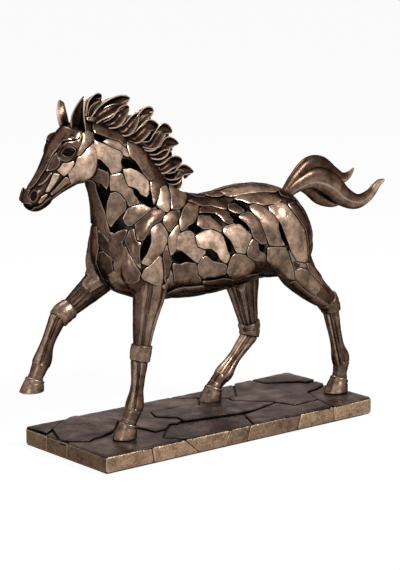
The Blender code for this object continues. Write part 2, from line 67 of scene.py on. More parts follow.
# Trunk sections from the rump to the head: back x, back height, belly x, belly height, half width.
TRUNK_FULLNESS = 0.14
TRUNK = [
    (97, 140, 98.5, 128, 4), (93, 149, 97, 118, 12.5), (85, 157, 93, 104, 21.5), (73, 164, 80, 98, 27.5),
    (58, 168.5, 63, 97, 31), (42, 170, 45, 98, 32), (26, 169, 27, 95, 32), (8, 166.5, 8, 93.5, 32.5),
    (-10, 167, -12, 92.5, 32.5), (-24, 171, -32, 93, 32), (-33, 176, -52, 95, 31.5),
    (-39, 182, -71, 99, 30.5),
    (-43.5, 188.5, -87, 108, 27.5), (-48, 196, -97, 124, 23), (-53, 203, -98.5, 141, 19.5),
    (-61, 210, -98.5, 156, 17), (-72, 216.5, -100.5, 170, 15.5), (-86, 222.5, -104, 182, 14.5),
    (-100, 227.5, -110, 192, 13.5), (-111, 229, -113, 201, 12),
]
TRUNK_SPLITS = {"haunch": (0, 5), "barrel": (5, 10), "shoulder": (10, 13), "neck": (13, 19)}

# Pierced openings on each flank: x, height, length, width and slope in degrees.
OPENINGS = [
    (-103, 217, 10, 4, -20), (-101, 198, 14, 6, -55), (-79, 196, 17, 6.5, -28), (-71, 174, 21, 8, -45),
    (-97, 174, 24, 5, -72), (-91, 155, 13, 7, 60), (-77, 137, 22, 7, 68), (-31, 148, 12, 6.5, -12),
    (-10, 152, 15, 6, -40), (-45, 128, 19, 7, -15), (-18, 127, 13, 8, -48), (-3, 134, 14, 5, -72),
    (13, 147, 17, 6.5, -48), (19, 158, 11, 5, -25), (30, 127, 8, 5, -70), (-11, 109, 18, 4.5, 2),
    (53, 134, 18, 6, -68), (66, 153, 11, 4.5, -55),
]
OPENING_MARGIN = 0.8

# Head sections from the poll to the lips: brow x, brow height, jaw x, jaw height, half width.
HEAD_FULLNESS = -0.06
HEAD = [
    (-110, 230.5, -103, 209, 9.5), (-121, 229, -105.5, 192.5, 13.5), (-130, 222.5, -111, 186, 14),
    (-136.5, 214.5, -120, 182.5, 12.5), (-141.5, 206.5, -129, 179, 10.2), (-146.5, 198.5, -137, 175, 9),
    (-151.5, 191.5, -144, 171.5, 8.7), (-156.5, 186, -150.5, 169.5, 8.6), (-159.5, 181.5, -155.5, 170.5, 7),
    (-160.5, 178, -159, 174, 3),
]
CHEEK_CENTRE = (-114.5, 8.5, 201.5)
CHEEK_RADII = (13.5, 7.0, 15.0)

# Leg castings from the trunk down: x, height, half depth, half width of each station.
LEG_SIDE = {"left_fore": -22.0, "right_fore": 21.0, "left_hind": -20.0, "right_hind": 22.0}
LEGS = {
    "left_fore": {
        "forearm": [(-64, 128, 12, 6.5), (-68, 106, 13, 10), (-72.5, 86, 9.6, 8.2), (-75.6, 67.5, 6.6, 6.4)],
        "knee": [(-75.6, 67.5, 7.4, 7.2), (-76.7, 61.5, 8, 7.7), (-78, 54.5, 7, 6.8)],
        "cannon": [(-78, 54.5, 6.3, 6.1), (-80.2, 36, 4.9, 4.8), (-83.9, 19.5, 6.2, 5.9)],
        "pastern": [(-83.9, 19.5, 5.6, 5.4), (-88.2, 10.4, 5.9, 5.8)],
        "hoof": [(-88.2, 10.4, 6.6, 6.4), (-92, 0, 9.3, 8.6)],
    },
    "right_fore": {
        "forearm": [(-62, 124, 12, 6.5), (-76, 112, 12, 9.5), (-92, 101, 9.5, 8.2), (-107.5, 91.5, 7, 6.6)],
        "knee": [(-107.5, 91.5, 7.6, 7.3), (-114, 88, 8.4, 8), (-119.4, 84, 7.2, 7)],
        "cannon": [(-119.4, 84, 6.4, 6.2), (-127.5, 69, 5, 4.9), (-134.8, 52.5, 6.2, 5.9)],
        "pastern": [(-134.8, 52.5, 5.6, 5.4), (-139.2, 43.5, 5.9, 5.8)],
        "hoof": [(-139.2, 43.5, 6.6, 6.4), (-142.8, 34.5, 9.3, 8.6)],
    },
    "left_hind": {
        "thigh": [(64, 132, 15, 7), (72.5, 107, 15.5, 12), (90, 88.5, 11.8, 10.2), (107, 76, 8.2, 7.6)],
        "hock": [(107, 76, 9, 8), (111, 71, 8.8, 7.9), (112.4, 65, 7.3, 7)],
        "cannon": [(112.4, 65, 6.6, 6.2), (118.4, 42.5, 5.3, 5), (124, 22.5, 6.8, 6.1)],
        "pastern": [(124, 22.5, 5.9, 5.6), (122.8, 11, 6, 5.9)],
        "hoof": [(122.8, 11, 6.7, 6.5), (118.5, 0, 10.4, 9.2)],
    },
    "right_hind": {
        "thigh": [(58, 128, 15, 7), (56, 100, 16.5, 12), (60, 75, 11, 9.5), (63.8, 57.5, 7.8, 7.4)],
        "hock": [(63.8, 57.5, 8.6, 8), (65.2, 51, 8.8, 8), (64, 45, 7.5, 7.2)],
        "cannon": [(64, 45, 6.8, 6.4), (50, 31, 5.2, 5), (35.6, 16.8, 6.5, 6)],
        "pastern": [(35.6, 16.8, 5.7, 5.5), (28.8, 10.2, 6, 5.9)],
        "hoof": [(28.8, 10.2, 6.6, 6.4), (24.5, 0, 9.4, 8.6)],
    },
}

# Plates of the body as outlines in the picture, in picture points from its top left corner.
PLATES = {
    "neck_upper": [(95, 141), (102, 144), (112, 148), (120.5, 151.5), (122.5, 155.5), (120.5, 161.5),
        (120.5, 169.5), (118.5, 172), (111, 174), (108.5, 168), (102, 161.5), (97, 156.5), (96, 149)],
    "crest_rough": [(102.5, 141.5), (106.5, 139), (118, 142), (125.5, 149.5), (128.5, 157), (123, 155),
        (120.5, 151), (112, 147.5)],
    "crest_strip": [(126.5, 142.5), (132, 144.5), (138.5, 149.5), (144, 156.5), (148.5, 168), (152, 177.5),
        (150.5, 180), (147.5, 179.5), (140.5, 170), (135, 161.5), (129, 155.5)],
    "crest_front": [(94, 124), (102, 124.5), (110.5, 128), (118.5, 134), (124.5, 140.5), (125.5, 147.5),
        (118, 141), (106, 137.5), (95, 133.5)],
    "neck_under_cheek": [(97, 168.5), (102, 169.5), (108.5, 172.5), (109, 177.5), (107, 190.5),
        (105.5, 188.5), (99.5, 181), (93, 177.5)],
    "neck_bright": [(123, 169.5), (130, 168), (137, 171), (141.5, 174.5), (148, 181), (148.5, 186),
        (148.5, 194.5), (146.5, 197.5), (140.5, 194.5), (137, 189.5), (132, 187), (128, 185.5),
        (125.5, 179.5)],
    "neck_middle": [(110, 175), (119.5, 173.5), (122.5, 174.5), (124.5, 181), (127.5, 187.5), (132, 189.5),
        (133.5, 196), (138, 203.5), (129, 206), (126.5, 201), (121, 193.5), (115.5, 190.5), (110, 190.5)],
    "neck_front_low": [(110, 193), (115.5, 191.5), (120.5, 195), (125.5, 200.5), (124.5, 210), (118.5, 218),
        (115, 222), (111, 228), (108, 223), (106.5, 215), (107, 202.5)],
    "neck_low": [(128, 209.5), (131.5, 206.5), (144, 204.5), (149.5, 209), (140.5, 217.5), (132.5, 223),
        (127.5, 226), (125, 224), (122, 218)],
    "crest_low": [(150, 182), (158, 186), (159, 191), (156, 200), (153.5, 206), (152, 200), (151, 191)],
    "withers_front": [(160.5, 188.5), (165, 187.5), (169, 193.5), (169.5, 207.5), (167, 212), (164, 211.5),
        (155.5, 205.5), (158.5, 198)],
    "withers_crest": [(170.5, 186), (175, 185), (181, 191), (184.5, 197.5), (183.5, 202.5), (178.5, 210),
        (171, 209), (170.5, 201)],
    "throat_strip": [(84.5, 184), (91.5, 180.5), (97, 190), (101, 201), (104.5, 210.5), (107.5, 220.5),
        (110.5, 232.5), (111, 241), (105.5, 236.5), (100, 230), (97.5, 223.5), (94.5, 214), (91, 201)],
    "shoulder_diagonal": [(136, 224), (142.5, 219.5), (150, 214), (161, 209.5), (164, 211), (163.5, 215.5),
        (157.5, 221.5), (151.5, 226), (148.5, 231), (144.5, 240), (137, 240), (136, 235.5)],
    "shoulder_top": [(169.5, 213), (179, 209.5), (179.5, 214), (174.5, 224), (169.5, 231.5), (167, 230),
        (163, 224), (164, 216.5)],
    "shoulder_long": [(151, 229.5), (155.5, 225), (161, 223.5), (165, 227), (166.5, 232.5), (166.5, 242),
        (163, 249.5), (155.5, 258.5), (147.5, 265), (141.5, 264), (141, 261.5), (147, 253), (151, 242)],
    "shoulder_front_strip": [(125.5, 240), (129.5, 231.5), (133.5, 229.5), (135.5, 236.5), (137, 241.5),
        (140, 244.5), (140, 257.5), (141, 266), (140.5, 269), (136, 265), (130.5, 255), (127.5, 245.5)],
    "shoulder_point_top": [(112, 235.5), (117.5, 231), (124, 229), (127, 230.5), (125, 236.5),
        (119.5, 244.5), (115.5, 250.5), (113, 248.5), (111, 243)],
    "shoulder_point": [(125.5, 246.5), (129.5, 254), (136, 265), (140, 273.5), (138, 279), (131.5, 282),
        (125, 280), (120, 277.5), (116, 270.5), (115, 265), (120, 254)],
    "shoulder_low": [(146, 269.5), (151.5, 264), (159.5, 255.5), (161.5, 258.5), (163, 273.5), (163, 278),
        (159.5, 284), (153, 282), (143.5, 277.5), (141.5, 276)],
    "shoulder_rear_strip": [(164.5, 251), (166.5, 244.5), (169, 254), (169.5, 265), (168, 276),
        (164.5, 283), (164, 278), (164.5, 267), (163, 259.5)],
    "elbow_strip": [(170, 268.5), (172, 278), (172, 284.5), (165.5, 288.5), (163, 286.5), (166, 282.5),
        (169, 274.5)],
    "girth_strip": [(178.5, 224), (179.5, 233.5), (178, 245.5), (173, 254), (170, 256), (168.5, 247.5),
        (168.5, 238), (173.5, 230)],
    "breast_left": [(97, 226.5), (98, 236.5), (98, 247.5), (98, 258.5), (96.5, 265), (92.5, 264.5),
        (89.5, 256.5), (88.5, 247.5), (91, 236.5), (94.5, 229)],
    "breast_middle": [(99.5, 253), (103.5, 251.5), (109, 257.5), (112, 267), (113, 276.5), (106.5, 279.5),
        (100.5, 274.5), (97.5, 266.5)],
    "breast_upper": [(99, 228), (105.5, 235.5), (111, 243), (113, 249.5), (111, 254), (105.5, 249.5),
        (101, 245.5), (99, 236.5)],
    "barrel_front_top": [(181.5, 214), (188, 203.5), (198.5, 204.5), (197, 214), (193, 223.5), (180.5, 231),
        (179, 225)],
    "barrel_upper": [(196.5, 222.5), (199, 216.5), (209.5, 215.5), (214.5, 220.5), (222, 228), (220, 232.5),
        (213.5, 229), (203, 229.5), (196.5, 225.5)],
    "barrel_upper_strip": [(199.5, 209), (212, 207.5), (226, 212.5), (233.5, 220), (231.5, 223), (229, 224),
        (222.5, 219), (214.5, 214), (203, 213), (199, 213)],
    "barrel_back_strip": [(187, 201.5), (200.5, 199.5), (214.5, 201), (223.5, 206), (226, 209),
        (212, 206.5), (199.5, 206)],
    "barrel_centre": [(195.5, 236.5), (199, 233), (210, 229.5), (218, 233), (223, 236.5), (226, 245.5),
        (228.5, 253.5), (226, 262.5), (219.5, 259), (217, 253.5), (211, 249), (204.5, 248.5), (197.5, 246)],
    "barrel_front": [(175.5, 235), (190, 230.5), (194, 233.5), (194, 239.5), (197, 248), (204.5, 251.5),
        (202, 256), (197, 262.5), (193, 260.5), (187, 255.5), (180, 250), (175.5, 249)],
    "barrel_right": [(224, 228), (230.5, 224.5), (239.5, 224), (245.5, 229.5), (251, 235), (249, 242),
        (245.5, 249), (244, 253), (237.5, 251), (233.5, 247.5), (230.5, 241), (226, 236.5), (223, 233)],
    "barrel_low_front": [(173.5, 264.5), (180.5, 263.5), (187, 261.5), (194.5, 263), (197, 269.5),
        (197, 275.5), (201, 281), (187, 282), (174.5, 281)],
    "barrel_low": [(202, 258), (206.5, 255.5), (212, 260.5), (219, 262.5), (225.5, 265.5), (225, 274),
        (214.5, 277), (204.5, 277.5), (199, 273), (197.5, 267)],
    "barrel_low_rear": [(232, 259), (235, 255.5), (244.5, 255.5), (251, 260.5), (253, 267), (249, 272),
        (242, 277.5), (235, 279.5), (228.5, 276), (225.5, 272)],
    "barrel_rear_small": [(249, 244.5), (252.5, 239), (257.5, 243), (259, 250.5), (264.5, 253.5),
        (263, 259), (253.5, 259), (248, 256), (247, 251)],
    "barrel_rear_strip": [(237.5, 217), (242, 213.5), (251, 213.5), (256, 218), (260.5, 226), (265, 237.5),
        (266, 244), (261, 244.5), (253.5, 237.5), (251, 230.5), (245.5, 223.5)],
    "barrel_top_rear": [(228.5, 205.5), (234, 203), (239, 206.5), (245, 211), (242, 213.5), (237.5, 214),
        (233, 213), (229.5, 210)],
    "belly_strip": [(202, 281), (214.5, 279.5), (223.5, 277.5), (230.5, 279), (235, 281.5), (230.5, 284),
        (218, 285), (205.5, 285)],
    "croup_leaf_top": [(221.5, 191.5), (228, 188.5), (242, 187), (258, 187.5), (269.5, 188.5),
        (277.5, 190.5), (260.5, 191.5), (247.5, 193.5), (236.5, 195), (228, 194)],
    "croup_leaf_low": [(233, 200), (239.5, 196.5), (251, 194.5), (267, 195), (277.5, 198.5), (281, 201),
        (276.5, 204.5), (265, 204), (249, 202), (239.5, 201)],
    "haunch_leaf": [(250.5, 207.5), (255, 205.5), (262.5, 210), (272, 216), (277.5, 222.5), (277.5, 229.5),
        (280, 237.5), (285.5, 245), (277.5, 246), (270.5, 244), (266.5, 237.5), (263, 228), (259.5, 220),
        (253.5, 214.5)],
    "haunch_main": [(268.5, 206.5), (278.5, 202.5), (286, 206), (292.5, 213.5), (299.5, 222.5),
        (304, 230.5), (306.5, 244.5), (307, 258), (304, 261.5), (296, 260.5), (292, 253.5), (287, 241),
        (281.5, 226), (276.5, 215.5)],
    "rump_rear": [(287, 203), (293, 203.5), (299, 210), (304.5, 219.5), (307.5, 229.5), (308.5, 243),
        (308, 258), (307.5, 244.5), (305.5, 230.5), (300.5, 222), (293.5, 212.5)],
    "stifle": [(269, 249), (275.5, 247), (284.5, 248), (287.5, 253.5), (290, 262.5), (292.5, 270.5),
        (293.5, 277.5), (290, 281), (281, 273), (273, 265), (268.5, 259)],
    "gaskin": [(295, 271), (301.5, 268.5), (307.5, 272), (315.5, 281), (324.5, 290), (329, 295.5),
        (323.5, 300), (315.5, 295.5), (304, 287), (296, 277.5)],
    "thigh_rear_strip": [(288, 249.5), (293, 256), (297, 262.5), (304.5, 264), (306, 267), (299.5, 267),
        (295, 268), (292, 260.5)],
    "gaskin_rear": [(306.5, 263), (310.5, 265.5), (318, 275.5), (328, 288), (332.5, 291), (329.5, 293.5),
        (320.5, 283.5), (311, 273)],
    "gaskin_front": [(289.5, 281.5), (295, 281), (305, 290), (315.5, 298), (322.5, 303.5), (318, 302.5),
        (306.5, 295.5), (295.5, 287)],
}

# Plates of the head as outlines in the picture.
HEAD_PLATES = {
    "cheek": [(93.8, 141.5), (87.8, 148), (80.7, 156), (77, 157.5), (76.4, 161), (74.6, 166), (71, 169.7),
        (68, 173.8), (69.5, 180.4), (71, 183.8), (79.7, 183), (87.8, 180), (93.4, 174.3), (96.2, 166),
        (96.7, 158), (95.8, 150.5)],
    "poll": [(82, 133), (87.8, 130.4), (93, 134.7), (92.6, 140.5), (85.5, 148), (79.7, 155.2),
        (76.8, 155.8), (77.3, 152), (81, 143.8), (82.6, 137)],
    "socket": [(58, 152), (60.6, 146.2), (66.3, 142), (73.5, 141.4), (79.5, 139), (80.4, 143), (77, 150.5),
        (76.2, 155.2), (73, 159), (66, 162), (60.3, 160.2), (58.2, 155.5)],
    "under_eye": [(57.2, 170.5), (60.8, 166.6), (62.8, 163.2), (66.9, 163.2), (73, 161), (74, 163),
        (71, 168.7), (67.4, 173.3), (63.8, 175.8), (60.8, 173.8)],
    "nasal_side": [(50.2, 161), (53.5, 155.5), (57.3, 152), (58, 156), (60, 160.8), (59.5, 165), (56, 169),
        (50.6, 171), (46, 171.5)],
    "nasal_ridge": [(50.4, 172.3), (51.8, 173.3), (46.5, 180.6), (42.9, 184.4), (38.8, 186.2),
        (37.6, 185.2), (41.9, 182.8), (45.5, 179.2)],
    "nose_strip": [(53.6, 173.3), (59.5, 174.5), (57.7, 178.9), (53, 186), (48.5, 191.6), (45.5, 192),
        (46.5, 189), (50, 182), (52.6, 175.3)],
    "jaw_strip": [(64.3, 177.6), (67.7, 177.2), (69.4, 182.4), (65.4, 185.5), (59.8, 190), (53.6, 194.7),
        (50.6, 195.2), (50.6, 193.2), (54.7, 189), (59.8, 183)],
    "jaw_edge": [(70.3, 183.6), (73, 184.6), (65.4, 190.2), (52.8, 197.6), (50.2, 198.4), (53.6, 195.9),
        (65.4, 187)],
    "lip_strip": [(37.6, 201.8), (41.4, 196.7), (47, 193.7), (47.6, 195.3), (44.4, 198.8), (40.9, 202.3),
        (38.2, 203.4)],
}

# Near edges of the head plates that cross to the far side: the face, the muzzle and the chin.
CROSSING_PLATES = {
    "face": [(79.5, 133.5), (79, 137), (72.5, 140.4), (67, 140.4), (60.2, 145), (57, 150), (53, 154.5),
        (49.8, 160), (46, 168.7), (41.4, 175.3), (36.8, 182.4), (33.7, 186.3), (30.5, 189)],
    "muzzle": [(30.4, 190), (29.6, 192), (28.4, 195.7), (29.1, 199.8), (31.8, 203.6), (34.5, 205)],
    "chin": [(34, 206.3), (38.8, 205.2), (44.4, 200.8), (50.4, 196.4), (52.4, 198)],
}

# Mane locks as seen in the picture: points along each lock, half width and distance out from the middle.
MANE_LOCKS = [
    ([(88, 116), (90.5, 106), (95, 99.5), (101.5, 97)], 4.8, 2.0),
    ([(92, 121), (101, 112), (115, 103), (130, 98.5)], 5.6, 4.5),
    ([(104, 125.5), (114, 121.5), (121, 112), (129, 108)], 4.8, 6.0),
    ([(113, 130), (124, 130), (131.5, 121), (138.5, 113.5)], 4.8, 5.5),
    ([(128, 129), (138, 121), (145, 112.5), (153.5, 111)], 4.6, 2.5),
    ([(124, 136), (134, 138), (141.5, 131), (148, 125), (159, 127)], 4.8, 5.5),
    ([(136, 145), (149, 146), (156, 137), (162, 128.5), (172, 132)], 4.8, 4.0),
    ([(141, 150.5), (152, 154), (161, 151), (166, 142), (178.5, 143.5)], 4.7, 5.0),
    ([(146, 157.5), (156, 159.5), (164, 155), (171.5, 156)], 4.3, 5.5),
    ([(149.5, 164.5), (160, 169), (169, 163), (175, 161), (182, 161.5)], 4.3, 4.5),
    ([(154, 169.5), (164.5, 178), (174, 177.5), (181, 169.5), (193.5, 172)], 4.6, 3.5),
    ([(161, 180), (170, 184.5), (177, 183), (183, 176)], 3.8, 4.5),
]

# Tail locks: points along each lock in millimetres, with its half height there.
TAIL_LOCKS = {
    "upper": [(82, 0, 159, 5), (93, 0.5, 169, 6.5), (106, 1, 177, 8), (119, 1.5, 176.5, 8),
        (132, 2, 169.5, 6.5), (143, 2.5, 165, 4.6), (151, 3, 166.5, 3), (157, 3, 171.5, 0.9)],
    "main": [(82, 0, 159, 5), (95, -1, 165, 6), (110, -2, 168.5, 8.5), (126, -2.5, 162.5, 9.5),
        (141, -2.5, 151, 8), (156, -2, 145.5, 6), (170, -1, 149, 4.6), (181, 0, 157, 3.2),
        (188, 0, 159.5, 1.2)],
    "lower": [(95, 2, 165, 4), (110, 4, 161, 7), (122, 4.5, 152.5, 7), (134, 4.5, 146.5, 4.4),
        (143, 4, 144, 1.2)],
}

# Flagstones of the paving, as outlines in the picture.
FLAGSTONES = {
    "corner_left": [(25, 427), (69.5, 417), (61, 422), (55, 427), (52, 429), (47, 432.5)],
    "wedge": [(52, 429.6), (47.6, 433.4), (62, 441.6), (67.4, 441.6), (60, 439.8)],
    "stippled_left": [(52.6, 429), (55.2, 426.8), (61.5, 422.4), (69.8, 417.6), (76.5, 416.2),
        (89.3, 418.3), (99.5, 419.2), (105.9, 418.7), (118, 421.9), (113, 431.3), (102, 436.4),
        (94.4, 438.3), (89.3, 441.2), (71.4, 440.8), (61.2, 439.4)],
    "front_left": [(67.6, 442), (72, 441), (89.5, 441.5), (94.6, 438.5), (102.3, 436.6), (113.5, 431.4),
        (137.2, 427.5), (155, 431.9), (165.6, 429.4), (162.6, 437.2), (177.3, 438.2), (184, 438.8),
        (152.4, 447.6), (127.5, 452.2), (105.2, 457.2)],
    "middle_large": [(77, 416), (165.8, 396.8), (182, 398.4), (198.5, 398.2), (199.5, 405.2), (184, 404.8),
        (166, 409.6), (150.3, 412.2), (155.8, 417.6), (177.3, 418.4), (181.8, 420.6), (176.6, 423.2),
        (170.4, 423), (165.8, 428.8), (155.3, 431.4), (137.4, 427), (118.9, 421.6), (106.1, 418.2),
        (99.8, 418.8), (89.6, 418)],
    "back_middle": [(166.5, 396.3), (231.5, 383.3), (236, 396.5), (227, 397.5), (198, 397), (182, 397.8)],
    "back_right": [(248.8, 379.6), (288, 373), (314, 380.8), (306.3, 383.2), (299.3, 382.2),
        (264.9, 383.6)],
    "large_right": [(232.5, 383.2), (248.8, 380.2), (264.9, 384.2), (299.3, 382.8), (306.3, 383.8),
        (314.5, 381.2), (322, 383.6), (317.5, 387.9), (307, 391.8), (318, 399), (295, 404.6),
        (275.4, 401.6), (233.3, 400.5), (228, 398), (236.8, 396.6)],
    "middle_right": [(151, 412.6), (166, 410.3), (184, 405.5), (200, 405.8), (199, 398.5), (227, 398.6),
        (233, 401.3), (275.4, 402.3), (256.5, 409.1), (240.3, 412.6), (183.7, 421), (177.3, 417.9),
        (156, 417.2)],
    "dark_rough": [(166.2, 429.6), (171, 423.8), (177, 423.9), (183.7, 421.7), (240.3, 413.5), (243.8, 414),
        (251, 422.5), (188, 437.2), (177.3, 437.4), (163, 436.8)],
    "front_middle": [(252.3, 422.8), (244.5, 414), (256.8, 409.9), (275.8, 402.7), (295, 405.6),
        (318.2, 400), (333, 405.8), (301, 412.6)],
    "right": [(318.5, 399), (308, 392.2), (318, 388.4), (322.6, 384.2), (371.5, 397.2), (334.5, 405.4)],
}
# How stippled the rough stones are.
ROUGH_STONES = {"stippled_left": 0.55, "dark_rough": 1.0, "middle_right": 0.35}
# How far each stone stands above or below the level of the paving.
STONE_RISES = {
    "front_left": -0.5, "wedge": -1.1, "stippled_left": 0.5, "middle_large": 0.1, "back_middle": -0.4,
    "back_right": 0.9, "large_right": 0.2, "middle_right": 0.5, "dark_rough": -0.9, "front_middle": -0.1,
    "right": -0.5, "corner_left": -0.1,
}
# Rounding of the slab's top edges and of its upright corners.
EDGE_ROUND = 1.6
CORNER_ROUND = 4.0

# Joints down the near side of the slab and down its left end: top and bottom points in the picture.
SIDE_JOINTS = [
    ((152.4, 447.6), (155, 460.4)), ((185.6, 439.3), (200, 452.7)), ((231.2, 428.8), (223.5, 445.6)),
    ((250.9, 423.1), (247.3, 440.7)), ((301.4, 412.6), (297.9, 428.8)), ((334.3, 405.6), (335, 420.3)),
]
END_JOINTS = [((47.2, 432.6), (46.6, 451.4)), ((67, 442.5), (66.3, 456.5))]
# Joints on the two faces that the picture does not show: place along the face at the top and at the bottom.
FAR_JOINTS = [(-96, -92), (-58, -63), (-14, -9), (31, 28), (66, 72), (101, 98)]
RIGHT_END_JOINTS = [(-19, -16), (22, 25)]

# How light each plate is painted, from 0 to 1, its own tone with painted highlight and shade; a plate that
# isn't named is 0.5.
TONES_WITH_PAINTED_LIGHT = {
    "neck_bright": 1.0, "withers_front": 0.75, "shoulder_long": 0.75, "barrel_centre": 0.95,
    "barrel_right": 0.75, "haunch_main": 0.7, "haunch_leaf": 0.65, "shoulder_low": 0.75,
    "neck_upper": 0.9, "neck_low": 0.65, "neck_front_low": 0.6, "shoulder_point": 0.55,
    "barrel_front": 0.8, "barrel_low": 0.6, "stifle": 0.6, "barrel_low_front": 0.55,
    "barrel_low_rear": 0.6, "withers_crest": 0.65, "neck_middle": 0.7, "neck_under_cheek": 0.5,
    "crest_rough": 0.75, "crest_strip": 0.55, "crest_front": 0.4, "crest_low": 0.5, "throat_strip": 0.45,
    "shoulder_diagonal": 0.5, "shoulder_front_strip": 0.5, "breast_left": 0.45, "breast_middle": 0.15,
    "breast_upper": 0.1, "belly_strip": 0.2, "croup_leaf_top": 0.65, "croup_leaf_low": 0.55,
    "barrel_back_strip": 0.4, "barrel_upper_strip": 0.3, "barrel_top_rear": 0.25, "rump_rear": 0.25,
    "barrel_front_top": 0.6, "barrel_upper": 0.55, "barrel_rear_small": 0.55, "barrel_rear_strip": 0.55,
    "shoulder_top": 0.55, "shoulder_rear_strip": 0.45, "girth_strip": 0.65, "elbow_strip": 0.6,
    "gaskin": 0.6, "gaskin_rear": 0.55, "gaskin_front": 0.35, "thigh_rear_strip": 0.15, "cheek": 0.9,
    "poll": 0.65, "socket": 0.5, "under_eye": 0.95, "nose_strip": 1.0, "nasal_side": 0.5,
    "nasal_ridge": 0.5, "jaw_strip": 0.6, "jaw_edge": 0.3, "lip_strip": 0.7, "face": 0.48, "muzzle": 0.4,
    "chin": 0.4,
}

# In picture points: the gap left between neighbouring plates and the most that an outline grows.
PLATE_JOINT = 0.5
PLATE_SPREAD = 2.4
# In picture points: the step along an outline, and more room than any plate needs.
TRACE_STEP = 2.2
AMPLE_ROOM = 99.0
# How an outline point is held back from an opening: share given up at a time, and the least share tried.
HOLD_STEP = 0.25
HOLD_LEAST = 0.1
# Half the gap along the back between the plates of the two sides, in millimetres.
BACK_SEAM = 0.8
# Plates that belong to the near thigh, and plates that the midline runs through.
LEG_PLATES = ("gaskin", "gaskin_rear", "gaskin_front", "thigh_rear_strip")
MIDDLE_PLATES = ("throat_strip", "breast_left")
# Plates that the picture does not show, each laid on both sides, and the light and dark of their finish.
# Seen from above or below an outline holds x and side distance.
# Seen from behind or ahead it holds side distance and height.
HIDDEN_PLATES = {
    "down": [
        [(-18, 0.8), (-2, 0.8), (-3, 6.5), (-12, 7)],
        [(0, 0.8), (13, 0.8), (12.5, 8.5), (7, 9), (0, 7)],
        [(41, 0.8), (61, 0.8), (63, 4.6), (53, 4.4), (45, 2.8)],
        [(63, 0.8), (78, 0.8), (77, 7), (70, 8.5), (66, 6)],
        [(62, 15.5), (67, 8.5), (71, 10), (77, 8.5), (80, 11.5), (76, 17), (70, 19.5), (65, 18)],
        [(80, 0.8), (90, 0.8), (91.5, 8), (87, 12), (81.5, 10), (79, 7)],
        [(82, 12), (86, 13.5), (91, 10.5), (92, 14), (88, 20), (81, 25), (76, 25.5), (73, 21.5), (78, 18)],
    ],
    "up": [
        [(-86, 0.8), (-66, 0.8), (-63, 9), (-70, 13), (-80, 11.5)],
        [(-64, 0.8), (-40, 0.8), (-37, 8), (-44, 15), (-61, 11)],
        [(-37, 0.8), (-8, 0.8), (-4, 8), (-10, 18), (-38, 15)],
        [(-5, 0.8), (20, 0.8), (24, 9), (18, 18), (-6, 17)],
        [(23, 0.8), (56, 0.8), (52, 12), (40, 17), (27, 14)],
        [(-52, 17), (-39, 18), (-12, 21), (-16, 25), (-44, 24)],
        [(-8, 22), (17, 21), (36, 20), (32, 25), (2, 26)],
        [(58, 0.8), (84, 0.8), (85, 7), (74, 10), (57, 9)],
    ],
    "forward": [
        [(0.8, 149), (6, 151), (11, 149), (13.5, 143), (11.5, 135), (6.5, 132.5), (0.8, 133)],
        [(14, 147), (18, 147.5), (22, 141), (23.5, 131), (20.5, 124), (16.5, 125), (13, 134), (15, 141)],
        [(0.8, 131), (6, 130.5), (11.5, 133), (14.5, 126), (15.5, 116), (12, 106.5), (6, 105), (0.8, 106)],
        [(17, 122.5), (21, 121.5), (25, 117), (26, 109), (22, 102.5), (15.5, 103), (15, 108), (17.5, 115)],
        [(23, 149), (26, 147), (28, 139), (27.5, 128), (25, 119.5), (23.5, 124), (25.5, 132), (24, 141)],
    ],
    "back": [
        [(10, 150), (16, 147), (20, 135), (17, 124), (11, 132)],
        [(4, 122), (14, 120), (20, 112), (15, 104), (4, 106)],
    ],
}
HIDDEN_TONES = (0.42, 0.58, 0.34, 0.5)
HIDDEN_CORNER = 0.2
# Where the lines that lay these plates start: above, below and past the ends.
# A line that misses is read this far along.
HIGH_START = 400
LOW_START = 40
END_START = 250
MISS_REACH = 200
# How far a hidden end of a leg piece runs on into its neighbour, and its thickness there as a share.
SEAT_RUN = 2.5
SEAT_SHARE = 0.9
# How light each leg piece's finish is, and the painted highlight or painted shade that single pieces add to
# that.
LEG_TONES = {
    "forearm": 0.5, "thigh": 0.45, "knee": 0.6, "hock": 0.56, "cannon": 0.52, "pastern": 0.54, "hoof": 0.57,
}
LEG_PAINTED_LIGHT = {"right_hind_cannon": 0.2, "left_hind_cannon": 0.1, "right_fore_forearm": -0.12}
# How far the ends of the leg pieces are rounded.
END_ROUNDING = 0.9
LEG_ROUNDING = {"knee": 2.2, "hock": 2.2}
# Light and dark of the strips between the grooves, and the depth of a groove.
STRIP_TONES = (0.0, 0.14, -0.1, 0.1, -0.06, 0.12)
GROOVE_DEPTH = 1.0
# Bands round the leg pieces: share of the length, height (below zero is a seam) and half length.
LEG_BANDS = {
    "knee": [(0.1, 0.5, 1.3), (0.9, 0.5, 1.3)],
    "hock": [(0.12, 0.4, 1.2), (0.5, -0.5, 0.7), (0.88, 0.5, 1.2)],
    "cannon": [(0.9, 1.1, 4.5)],
    "pastern": [(0.3, 0.7, 1.6), (0.56, -0.6, 0.7)],
    "hoof": [(0.08, 0.4, 1.1), (0.25, -0.25, 0.7)],
}
